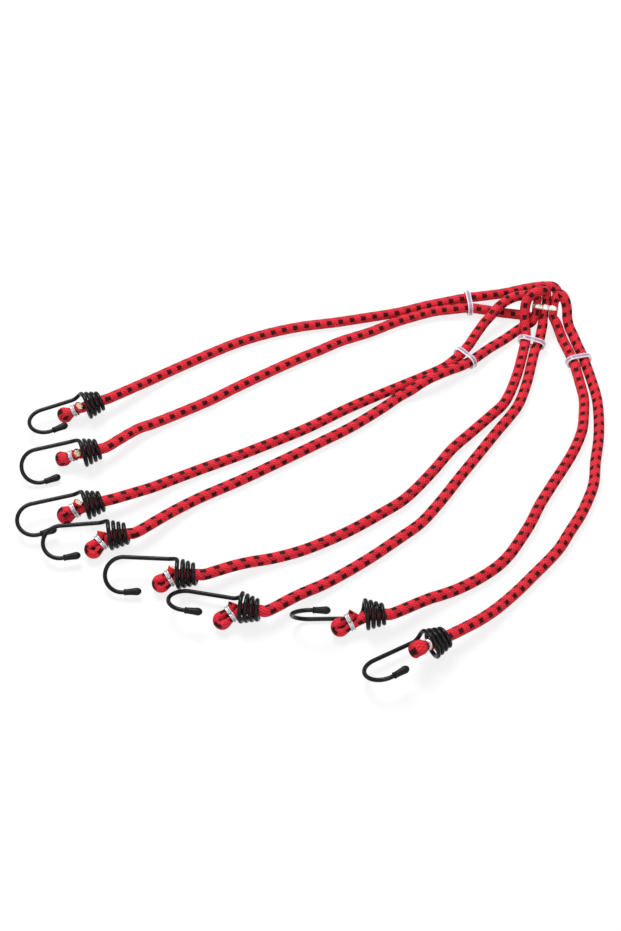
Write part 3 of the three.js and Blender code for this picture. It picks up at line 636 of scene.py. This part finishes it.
def fold_stations(number):
    """Stations of a folded end, from inside the coil to the cut, wider side facing outwards."""
    hook = hook_frames[number]
    ring_at = hook.reach - BULB_CENTRE
    half = RING_WIDTH / 2 + RING_MARGIN
    pivot = ring_at + RING_WIDTH / 2 + GAP + BULB_LENGTH - 2 * BULB_OFFSET
    full, pinch = (CORD_RADIUS, CORD_RADIUS), (PINCH_HALF_WIDTH, PINCH_HALF_THICKNESS)
    cut = (CUT_RADIUS, CUT_RADIUS)
    growing = ((pinch[0] + cut[0]) / 2, (pinch[1] + cut[1]) / 2)
    bend = []
    for angle in (radians(degree) for degree in BEND_DEGREES):
        place = hook.at(pivot + BULB_OFFSET * sin(angle), -BULB_OFFSET * cos(angle))
        half_width = BULB_OFFSET + BULB_PRESS * abs(cos(angle))
        bend.append((*place, half_width, BULB_HALF_THICKNESS))
    stops = [
        (*hook.into(-2 * CORD_RADIUS), *full),
        (*hook.into(-CORD_RADIUS), *full),
        (*hook.at((ring_at - half) / 2, -INCOMING_OFFSET), INCOMING_RADIUS, INCOMING_RADIUS),
        (*hook.at(ring_at - half, -PINCH_OFFSET), *pinch),
        (*hook.at(ring_at + half, -PINCH_OFFSET), *pinch),
        *bend,
        (*hook.at(ring_at + half, PINCH_OFFSET), *pinch),
        (*hook.at(ring_at - half, PINCH_OFFSET), *pinch),
        (*hook.at(ring_at - (half + CUT_SETBACK) / 2, (PINCH_OFFSET + CUT_OFFSET) / 2), *growing),
        (*hook.at(ring_at - CUT_SETBACK, CUT_OFFSET), *cut),
    ]
    # The first stop only gives the line its direction, so the steps that follow it are left out
    line = through(stops, FOLD_STEP)[ceil(CORD_RADIUS / FOLD_STEP):]
    places = [stop.to_3d() for stop in line]
    ahead = directions(places)
    middle = max(range(len(places)), key=lambda i: (places[i] - hook.centre).dot(hook.fold))
    stations = []
    for i, (stop, place, way) in enumerate(zip(line, places, ahead)):
        off = place - hook.at(pivot, 0)
        outer = hook.cut_side * (1 if i > middle else -1)
        if off.dot(hook.fold) > 0:
            outer = off
        stations.append(station(place, square_to(way, outer), way, stop[3], stop[4]))
    return stations, places


def cut_lip(last, way):
    """Stations that round the cut sheath's edge and turn it into the recess of the core."""
    inside = (CUT_RADIUS - SHEATH_WALL) / CUT_RADIUS
    rounded = (CUT_RADIUS - CUT_ROUND) / CUT_RADIUS
    ends = [(CUT_ROUND, rounded), (CUT_ROUND, inside), (-CUT_RECESS, inside)]
    return [
        Matrix.Translation(way * along) @ last @ Matrix.Diagonal((size, size, 1, 1))
        for along, size in ends
    ]


def arm_fold(number):
    """Folded end of an arm, its dashes running on from the sheath's, and the face of its cut."""
    stations, places = fold_stations(number)
    normal, along = sheath_ends[number]
    row_turn, period = DASHES[number - 1]
    first = stations[0].to_3x3().normalized()
    turned = atan2(normal.dot(first.col[1]), normal.dot(first.col[0]))
    way = (places[-1] - places[-2]).normalized()
    alongs = [(along + distance) * DASH_PERIOD / period for distance in lengths_along(places)]
    cut_face = stations[-1]
    lip = cut_lip(cut_face, way)
    alongs += [alongs[-1]] * len(lip)
    _, side, _ = ARM_STRANDS[number - 1]
    bm = bmesh.new()
    bm.verts.layers.float_vector.new("weave")
    weave = (alongs, radians(row_turn) - turned, side)
    sweep(bm, circle(FOLD_SIDES), stations + lip, weave=weave)
    return finished(f"arm_{number}_fold", bm, sheath_material), cut_face


folds, cut_faces = {}, {}
for number in ARM_NUMBERS:
    folds[number], cut_faces[number] = arm_fold(number)
    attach(folds[number], f"end_{number}")
    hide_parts(f"arm_{number}_end")


# Rubber core of each cord, seen at its cut end: a bundle of pale square-cut rubber threads that
# stand a little proud of the sheath, each cut at its own length.
THREAD_RADIUS = 0.00041
THREAD_PITCH = 0.00081
THREAD_RINGS = 3
THREAD_SIDES = 10
THREAD_TAPER_SHARE = 0.82
CORE_PROUD = 0.00065
CORE_UNEVEN = 0.00022
RUBBER = (0.93, 0.84, 0.62, 1)
RUBBER_SHADE = (0.76, 0.62, 0.38, 1)
RUBBER_STAIN_SHARE = 0.35
RUBBER_STAIN_SPREAD = 1.4
RUBBER_STAINS_PER_METRE = 500
RUBBER_GRAINS_PER_METRE = 2500
RUBBER_GRAIN_HEIGHT = 0.00008
CUT_SEED = 8


def rubber_finish():
    """Matt pale rubber, stained here and there, with a fine grain."""
    rubber = Finish("core_rubber", roughness=0.6, subsurface_weight=0.05)
    grain = rubber.noise(RUBBER_GRAINS_PER_METRE, detail=3)
    stain = rubber.noise(RUBBER_STAINS_PER_METRE, detail=2)
    stained = rubber.varied(RUBBER_STAIN_SHARE, (stain, RUBBER_STAIN_SPREAD))
    rubber.set(base_color=rubber.mix(stained, RUBBER, RUBBER_SHADE))
    rubber.set(normal=rubber.bump(grain, RUBBER_GRAIN_HEIGHT))
    return rubber.material


def thread_places():
    """Places of the threads across a core: one in the middle and three rings packed round it."""
    for q in range(-THREAD_RINGS, THREAD_RINGS + 1):
        lowest, highest = max(-THREAD_RINGS, -q - THREAD_RINGS), min(THREAD_RINGS, THREAD_RINGS - q)
        for r in range(lowest, highest + 1):
            yield THREAD_PITCH * (q + r / 2), THREAD_PITCH * r * sqrt(3) / 2


rubber_material = rubber_finish()
cuts = random.Random(CUT_SEED)
cores = {}
for number in ARM_NUMBERS:
    face = cut_faces[number]
    upright = Matrix.Translation(face.translation) @ face.to_3x3().normalized().to_4x4()
    bm = bmesh.new()
    for x, y in thread_places():
        top = CORE_PROUD + cuts.uniform(-CORE_UNEVEN, CORE_UNEVEN)
        depth = top + CUT_RECESS
        bmesh.ops.create_cone(
            bm, cap_ends=True, segments=THREAD_SIDES, depth=depth,
            radius1=THREAD_RADIUS, radius2=THREAD_RADIUS * THREAD_TAPER_SHARE,
            matrix=upright @ Matrix.Translation((x, y, top - depth / 2)),
        )
    cores[number] = finished(f"arm_{number}_core_threads", bm, rubber_material)
    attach(cores[number], f"end_{number}")
    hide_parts(f"arm_{number}_core")


# Crimped ring round each fold: a galvanised strip bent into a flat loop, with a rolled bead
# along each edge, a groove between them and a butt joint at the back.
RING_WALL = 0.0007
RING_BEAD = 0.0003
RING_INNER_RADIUS = 0.003
RING_CENTRE_OFFSET = 0.00245
RING_ARC_STEPS = 14
RING_JOINT = 0.00025
BEAD_RADIUS_SHARE = 1 / 3
BEAD_ARC_STEPS = 6
STRIP_GROOVE_SHARE = 0.62
ZINC = (0.60, 0.61, 0.63, 1)
ZINC_DULL = (0.42, 0.43, 0.45, 1)


def strip_profile(width, wall, bead):
    """Section of a strip with a rounded bead along each edge, X outwards from its inner face."""
    half = width / 2
    radius = half * BEAD_RADIUS_SHARE
    points = [(0, radius / 2 - half), (0, half - radius / 2)]
    for middle in (half - radius, radius - half):
        for k in range(BEAD_ARC_STEPS + 1):
            angle = radians(90 - 180 * k / BEAD_ARC_STEPS)
            x = wall + bead - radius + radius * cos(angle)
            points.append((max(x, wall * STRIP_GROOVE_SHARE), middle + radius * sin(angle)))
    return points


def zinc_finish(name, metallic, colours, dull, roughness, spangles, scuffs, scuff_height):
    """Galvanised metal with a spangle of bright and dull colour and with scuffs, so many of each
    to the metre. dull and roughness are each a middle value and its spread."""
    zinc = Finish(name, metallic=metallic)
    spangle = zinc.noise(spangles, detail=2)
    scuff = zinc.noise(scuffs, detail=4)
    dull_share, dull_spread = dull
    zinc.set(base_color=zinc.mix(zinc.varied(dull_share, (spangle, dull_spread)), *colours))
    middle, spread = roughness
    zinc.set(roughness=zinc.varied(middle, (spangle, spread), (scuff, spread)))
    zinc.set(normal=zinc.bump(scuff, scuff_height))
    return zinc.material


zinc_material = zinc_finish(
    "galvanised_strip", metallic=0.8, colours=(ZINC, ZINC_DULL), dull=(0.5, 1),
    roughness=(0.42, 0.12), spangles=700, scuffs=2600, scuff_height=0.000015,
)


def ring_stations(number):
    """Stations round the flat loop, starting and ending at the butt joint at its back."""
    hook = hook_frames[number]
    middle = hook.at(hook.reach - BULB_CENTRE, 0)
    turns = [(RING_JOINT / 2, -pi / 2)]
    for centre, start in ((RING_CENTRE_OFFSET, -pi / 2), (-RING_CENTRE_OFFSET, pi / 2)):
        turns += [(centre, start + pi * k / RING_ARC_STEPS) for k in range(RING_ARC_STEPS + 1)]
    turns.append((-RING_JOINT / 2, 3 * pi / 2))
    stations = []
    for centre, angle in turns:
        outward = hook.cut_side * cos(angle) + hook.flat * sin(angle)
        place = middle + hook.cut_side * centre + outward * RING_INNER_RADIUS
        way = hook.fold.cross(outward)
        stations.append(station(place, outward, way))
    return stations


rings = {}
for number in ARM_NUMBERS:
    bm = bmesh.new()
    sweep(bm, strip_profile(RING_WIDTH, RING_WALL, RING_BEAD), ring_stations(number))
    rings[number] = finished(f"arm_{number}_crimp_ring", bm, zinc_material)
    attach(rings[number], f"end_{number}")
    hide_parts(f"arm_{number}_ring")


# Hooks: spring steel wire in a glossy black plastic coat. Four turns coil round the cord's neck,
# then the wire runs out as a straight shank and bends back to its tip.
WIRE_RADIUS = 0.0015
WIRE_SIDES = 20
COIL_SMALL_RADIUS = 0.0062
COIL_TURNS = 3.75
COIL_STEPS_PER_TURN = 48
LEAD_TURN = 1 / 8
SHANK_START = 0.007
SHANK_END = 0.035
LEAD_HANDLE = 0.0045
LEAD_STEPS = 14
WIRE_STEP = 0.0007
BEND_RADIUS = 0.0123
BEND_TURN = 186
BEND_STEPS = 48
TIP_LENGTH = 0.0095
# How the wire's end rounds off in the coil: how far out, and its share of the full thickness
WIRE_END_ROUND = 0.00045
WIRE_END_SHARES = [(1, 0.55), (0.75, 0.8), (0.35, 0.95)]
COAT_BLACK = (0.003, 0.003, 0.0035, 1)
COAT_GREY = (0.009, 0.009, 0.0095, 1)
COAT_GREY_SHARE = 0.25
COAT_GREY_SPREAD = 1.5
COAT_FLOWS_PER_METRE = 160
COAT_SCUFFS_PER_METRE = 1800
SCUFF_HEIGHT_SHARE = 0.25
FLOW_SPREAD = 0.12
SCUFF_SPREAD = 0.1


def coat_finish(name, roughness, ripple):
    """Black plastic, uneven where it flowed and with greyer scuffs."""
    coat = Finish(name, specular_ior_level=0.14)
    flow = coat.noise(COAT_FLOWS_PER_METRE, detail=3)
    scuff = coat.noise(COAT_SCUFFS_PER_METRE, detail=4)
    grey = coat.varied(COAT_GREY_SHARE, (scuff, COAT_GREY_SPREAD))
    spreads = (flow, FLOW_SPREAD), (scuff, SCUFF_SPREAD)
    coat.set(base_color=coat.mix(grey, COAT_BLACK, COAT_GREY))
    coat.set(roughness=coat.varied(roughness, *spreads))
    coat.set(normal=coat.bump(flow + scuff * SCUFF_HEIGHT_SHARE, ripple))
    return coat.material


def coil_line():
    """Centreline of the coil, from its small end to where the wire leads off its large turn."""
    whole, last = COIL_TURNS * 2 * pi, LEAD_TURN * 2 * pi
    steps = round((COIL_TURNS - LEAD_TURN) * COIL_STEPS_PER_TURN)
    points = []
    for i in range(steps + 1):
        angle = whole + (last - whole) * i / steps
        share = 1 - angle / whole
        radius = COIL_SMALL_RADIUS + (COIL_LARGE_RADIUS - COIL_SMALL_RADIUS) * share
        along = -COIL_LENGTH * (1 - share)
        points.append(Vector((along, radius * cos(angle), -radius * sin(angle))))
    return points


def hook_line(hook):
    """Centreline of the wire up to its tip, in the hook's own frame, and the way the tip points."""
    points = coil_line()
    leaving, heading = points[-1], (points[-1] - points[-2]).normalized()
    shank = Vector((SHANK_START, COIL_LARGE_RADIUS, 0))
    handles = (leaving + heading * LEAD_HANDLE, shank - Vector((LEAD_HANDLE, 0, 0)))
    points += interpolate_bezier(leaving, *handles, shank, LEAD_STEPS)[1:]
    bend = Vector((SHANK_END * hook.shank_share, COIL_LARGE_RADIUS - BEND_RADIUS, 0))
    shank_end = bend + Vector((0, BEND_RADIUS, 0))
    shank_steps = ceil((bend.x - shank.x) / WIRE_STEP)
    points += [shank.lerp(shank_end, i / shank_steps) for i in range(1, shank_steps)]
    for i in range(BEND_STEPS + 1):
        angle = radians(90 - BEND_TURN * i / BEND_STEPS)
        points.append(bend + BEND_RADIUS * Vector((cos(angle), sin(angle), 0)))
    return points, Vector((sin(angle), -cos(angle), 0))


coat_material = coat_finish("black_coat", roughness=0.19, ripple=0.00006)
hook_tips = {}
for number in ARM_NUMBERS:
    hook = hook_frames[number]
    turned = Matrix((hook.outward, hook.to_shank, hook.binormal)).transposed().to_4x4()
    into_place = Matrix.Translation(hook.centre) @ turned
    line, tip_way = hook_line(hook)
    hook_tips[number] = (into_place, line[-1], tip_way)
    line.append(line[-1] + tip_way * TIP_LENGTH)
    line = [into_place @ point for point in line]
    ahead = directions(line)
    normals = carried_normals(ahead, hook.to_shank)
    stations = [station(*found, WIRE_RADIUS, WIRE_RADIUS) for found in zip(line, normals, ahead)]
    back = ahead[0] * -WIRE_END_ROUND
    start = [
        Matrix.Translation(back * out) @ stations[0] @ Matrix.Diagonal((size, size, 1, 1))
        for out, size in WIRE_END_SHARES
    ]
    bm = bmesh.new()
    sweep(bm, circle(WIRE_SIDES), start + stations)
    wire = finished(f"hook_{number}_wire", bm, coat_material)
    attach(wire, f"hook_{number}_body")
    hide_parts(f"hook_{number}")


# Cap on each hook's tip: a soft black sleeve pushed over the wire, swelling to a rounded end,
# with a thin rim round its mouth.
CAP_LENGTH = 0.012
CAP_START = 0.0006
CAP_BORE = 0.00172
CAP_BORE_DEPTH = CAP_LENGTH / 2
CAP_CHAMFER_SHARE = 0.03
CAP_LARGE_RADIUS = 0.00275
CAP_SIDES = 36
CAP_ROUND_STEPS = 8
# Shares of the cap's length and of its largest radius, from its mouth to where its end rounds off
CAP_SHARES = [
    (0.02, 0.74), (0.0, 0.79), (0.025, 0.83), (0.07, 0.83), (0.085, 0.78), (0.2, 0.79),
    (0.4, 0.84), (0.6, 0.92), (0.72, 0.98),
]


def tip_cap(number, material):
    """Sleeve spun round the wire's tip, closed by a round end and a bore that ends inside."""
    into_place, tip_start, tip_way = hook_tips[number]
    end = CAP_LENGTH * CAP_SHARES[-1][0]
    radius_end = CAP_LARGE_RADIUS * CAP_SHARES[-1][1]
    profile = [(0, CAP_BORE_DEPTH), (CAP_BORE, CAP_BORE_DEPTH)]
    profile.append((CAP_BORE, CAP_LENGTH * CAP_CHAMFER_SHARE))
    profile += [(radius * CAP_LARGE_RADIUS, along * CAP_LENGTH) for along, radius in CAP_SHARES]
    for k in range(1, CAP_ROUND_STEPS + 1):
        angle = pi / 2 * k / CAP_ROUND_STEPS
        profile.append((radius_end * cos(angle), end + (CAP_LENGTH - end) * sin(angle)))
    bm = bmesh.new()
    verts = [bm.verts.new((x, 0, z)) for x, z in profile]
    edges = [bm.edges.new(pair) for pair in zip(verts, verts[1:])]
    bmesh.ops.spin(
        bm, geom=verts + edges, cent=(0, 0, 0), axis=(0, 0, 1), angle=2 * pi, steps=CAP_SIDES,
        use_merge=True,
    )
    lie = Vector((0, 0, 1)).rotation_difference(tip_way).to_matrix().to_4x4()
    place = into_place @ Matrix.Translation(tip_start + tip_way * CAP_START) @ lie
    bmesh.ops.transform(bm, matrix=place, verts=bm.verts)
    return finished(f"hook_{number}_tip_cap", bm, material)


cap_material = coat_finish("black_cap", roughness=0.42, ripple=0.0002)
for number in ARM_NUMBERS:
    cap = tip_cap(number, cap_material)
    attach(cap, f"hook_{number}_body")
    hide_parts(f"hook_{number}_cap")


# Each arm as one cord, from the clamp to the fold, ring and hook at its end. It lies still by
# the clamp. Of the two arms of a cord, the one on the clamp's upper side also stands for the
# cord's middle.
for number in ARM_NUMBERS:
    line = sheath_lines[number]
    strand, side, gives_from = ARM_STRANDS[number - 1]
    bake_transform(sheaths[number])
    replaced = [f"arm_{number}_cord"]
    if side == 1:
        replaced.append(f"cord_{strand}_middle")
    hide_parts(*replaced)
    lengths_along(line)[-1]


# Centre clamp: a bright zinc strip crimped round the bunch of strands, pressed in between them,
# with a rolled bead along each edge. The crimp leaves it narrower round the outer strands.
CLAMP_WALL = 0.0011
CLAMP_BEAD = 0.00035
CLAMP_FIT = 0.0003
CLAMP_STEPS = 120
CLAMP_HALVINGS = 24
CLAMP_SOFT = 0.0007
CLAMP_PINCH_SHARE = 0.4
CLAMP_ZINC = (0.93, 0.89, 0.78, 1)
CLAMP_DULL = (0.62, 0.57, 0.46, 1)


def clamp_radius(angle, strands):
    """How far the strip's inner face lies from the middle of the bunch, in one direction."""
    low, high = 0, 4 * SQUEEZED_RADIUS
    for _ in range(CLAMP_HALVINGS):
        radius = (low + high) / 2
        spot = Vector((cos(angle), sin(angle))) * radius
        near = [(spot - strand).length - SQUEEZED_RADIUS - CLAMP_FIT for strand in strands]
        blended = -CLAMP_SOFT * log(sum(exp(-gap / CLAMP_SOFT) for gap in near))
        low, high = (radius, high) if blended < 0 else (low, radius)
    return (low + high) / 2


def clamp_band(material):
    """Strip swept round the bunch as one closed loop, then pinched at both sides."""
    strands = [Vector(((high + low) / 2, row)) for high, low, row in STRANDS.values()]
    outline = []
    for k in range(CLAMP_STEPS):
        angle = 2 * pi * k / CLAMP_STEPS
        spot = Vector((cos(angle), sin(angle))) * clamp_radius(angle, strands)
        outline.append(CLAMP_PLACE + clamp_across * spot.x + clamp_front * spot.y)
    stations = []
    for before, place, after in zip(outline[-1:] + outline, outline, outline[1:] + outline[:1]):
        way = (after - before).normalized()
        stations.append(station(place, way.cross(clamp_axis), way))
    stations.append(stations[0])
    bm = bmesh.new()
    sweep(bm, strip_profile(CLAMP_WIDTH, CLAMP_WALL, CLAMP_BEAD), stations, closed=True)
    half = max(abs((vert.co - CLAMP_PLACE).dot(clamp_across)) for vert in bm.verts)
    for vert in bm.verts:
        spot = vert.co - CLAMP_PLACE
        pinch = CLAMP_PINCH_SHARE * (spot.dot(clamp_across) / half) ** 2
        vert.co -= clamp_axis * spot.dot(clamp_axis) * pinch
    return finished("clamp_band", bm, material)


# Warmer and more worn than the rings' zinc
clamp = clamp_band(zinc_finish(
    "clamp_strip", metallic=0.75, colours=(CLAMP_ZINC, CLAMP_DULL), dull=(0.3, 1.4),
    roughness=(0.32, 0.2), spangles=600, scuffs=2400, scuff_height=0.00006,
))
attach(clamp, "root")
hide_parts("centre_clamp")


# Clips: clear plastic loops, faintly lilac, each slipped round the two arms of one cord and
# free to slide along them. Their edges are rounded and carry a painted white highlight.
CLIP_WALL = 0.0012
CLIP_WIDTH = 0.004
CLIP_CLEARANCE = 0.00085
CLIP_ARC_STEPS = 24
CLIP_EDGE_STEPS = 5
CLIPS = {
    "clip_a": (1, 2, (0.125, 0.173, 0.004)),
    "clip_b": (3, 4, (0.1178, 0.1116, 0.004)),
    "clip_c": (5, 6, (0.1718, 0.1285, 0.004)),
    "clip_d": (7, 8, (0.2062, 0.1085, 0.004)),
}
CLEAR_LILAC = (0.46, 0.36, 0.54, 1)
# Painted highlight along the rims
RIM_PAINTED_HIGHLIGHT = (0.96, 0.94, 0.97, 1)
RIM_SHARE = 0.62
RIM_SOFT = 0.12
RIM_ALPHA = 0.32
HAZES_PER_METRE = 350
CLEAR_ALPHA = 0.47
CLEAR_ALPHA_SPREAD = 0.1
CLEAR_ROUGHNESS = 0.22
CLEAR_ROUGHNESS_SPREAD = 0.2
CLEAR_RIPPLE = 0.00005


def clear_finish():
    """Thin clear plastic, whiter and denser along its rounded rims, the white a painted highlight.
    """
    clear = Finish("clear_plastic", coat_weight=0.3)
    rim = clear.add("ShaderNodeAttribute", {"attribute_name": "rim"}, {}, output="Fac")
    rim = 1 - abs(rim).below(RIM_SHARE, RIM_SOFT)
    haze = clear.noise(HAZES_PER_METRE, detail=3)
    clear.set(base_color=clear.mix(rim, CLEAR_LILAC, RIM_PAINTED_HIGHLIGHT))
    clear.set(alpha=rim * RIM_ALPHA + clear.varied(CLEAR_ALPHA, (haze, CLEAR_ALPHA_SPREAD)))
    clear.set(roughness=clear.varied(CLEAR_ROUGHNESS, (haze, CLEAR_ROUGHNESS_SPREAD)))
    clear.set(normal=clear.bump(haze, CLEAR_RIPPLE, strength=0.3))
    return clear.material


def nearest_on(line, place):
    """Place and heading on a cord's line nearest to a place."""
    i = min(range(1, len(line) - 1), key=lambda k: (line[k] - place).length)
    return line[i], (line[i + 1] - line[i - 1]).normalized()


def rounded_strip(width, wall, steps):
    """Section of a strip whose two edges are half round, X outwards from its inner face."""
    radius = wall / 2
    reach = width / 2 - radius
    points = []
    for middle, start in ((reach, 180), (-reach, 0)):
        for k in range(steps + 1):
            angle = radians(start - 180 * k / steps)
            points.append((radius + radius * cos(angle), middle + radius * sin(angle)))
    return points


def cord_clip(name, material):
    """Closed loop round both arms of a cord. Its rim value is -1 and 1 at its two edges."""
    first_arm, second_arm, place = CLIPS[name]
    (first, first_way), (second, second_way) = (
        nearest_on(sheath_lines[arm], Vector(place)) for arm in (first_arm, second_arm)
    )
    middle, across = (first + second) / 2, second - first
    half = across.length / 2
    across.normalize()
    axis = square_to(across, first_way + second_way)
    up = axis.cross(across)
    stations = []
    for centre, start in ((half, -pi / 2), (-half, pi / 2)):
        for k in range(CLIP_ARC_STEPS + 1):
            angle = start + pi * k / CLIP_ARC_STEPS
            outward = across * cos(angle) + up * sin(angle)
            spot = middle + across * centre + outward * (CORD_RADIUS + CLIP_CLEARANCE)
            stations.append(station(spot, outward, axis.cross(outward)))
    stations.append(stations[0])
    bm = bmesh.new()
    sweep(bm, rounded_strip(CLIP_WIDTH, CLIP_WALL, CLIP_EDGE_STEPS), stations, closed=True)
    rim = bm.verts.layers.float.new("rim")
    for vert in bm.verts:
        vert[rim] = (vert.co - middle).dot(axis) / (CLIP_WIDTH / 2)
    return finished(f"{name}_loop", bm, material)


clear_material = clear_finish()
for name in CLIPS:
    loop = cord_clip(name, clear_material)
    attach(loop, name)
    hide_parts(name)


# Stage: one pale floor that the camera sees as white with a faint shadow, a white world,
# and two soft lamps that light the strap at a plain level.
FLOOR_HALF = 8
FLOOR_DROP = 0.0001
FLOOR_WHITE = (0.86, 0.86, 0.86, 1)
FLOOR_GLOW_SHARE = 0.8
WORLD_STRENGTH = 0.34


def seen_white(nodes):
    """1 on rays from the camera and on those that metal mirrors or clear plastic lets through."""
    seen, mirrored, through = (
        nodes.add("ShaderNodeLightPath", {}, {}, output=name)
        for name in ("Is Camera Ray", "Is Glossy Ray", "Is Transmission Ray")
    )
    return nodes.math("MAXIMUM", nodes.math("MAXIMUM", seen, mirrored), through)


def floor_finish():
    """Matt floor that glows white wherever it is seen, so that only a faint shadow is left."""
    floor = Finish("pale_floor", base_color=FLOOR_WHITE, roughness=0.9, specular_ior_level=0.1)
    glow = floor.add("ShaderNodeEmission", {}, {"Color": (1, 1, 1, 1), "Strength": 1})
    surface = Signal(floor, floor.shader.outputs[0])
    share = seen_white(floor) * FLOOR_GLOW_SHARE
    mixed = floor.add("ShaderNodeMixShader", {}, {0: share, 1: surface, 2: glow})
    floor.feed(floor.tree.nodes["Material Output"].inputs["Surface"], mixed)
    return floor.material


bm = bmesh.new()
bmesh.ops.create_grid(bm, x_segments=1, y_segments=1, size=FLOOR_HALF)
bmesh.ops.translate(bm, verts=bm.verts, vec=(0, 0, -FLOOR_DROP))
floor = finished("floor", bm, floor_finish())

# The world lights softly, and is plain white to the camera, in metal and through clear plastic
world = bpy.data.worlds.new("white_world")
world.use_nodes = True
sky = Nodes(world.node_tree)
background = sky.tree.nodes["Background"]
strength = sky.add(
    "ShaderNodeMapRange", {}, {"Value": seen_white(sky), "To Min": WORLD_STRENGTH, "To Max": 1}
)
sky.feed(background.inputs["Color"], (1, 1, 1, 1))
sky.feed(background.inputs["Strength"], strength)
bpy.context.scene.world = world


def lamp(name, place, size, power):
    """Square area lamp that faces the middle of the strap."""
    data = bpy.data.lights.new(name, "AREA")
    data.size, data.energy = size, power
    made = bpy.data.objects.new(name, data)
    made.location = place
    made.rotation_euler = (-Vector(place)).to_track_quat("-Z", "Y").to_euler()
    bpy.context.scene.collection.objects.link(made)


lamp("key_lamp", place=(-0.35, 0.75, 1.5), size=0.8, power=30)
lamp("fill_lamp", place=(0.2, -1.2, 1.2), size=1.2, power=10)
bpy.context.scene.view_settings.view_transform = "Standard"
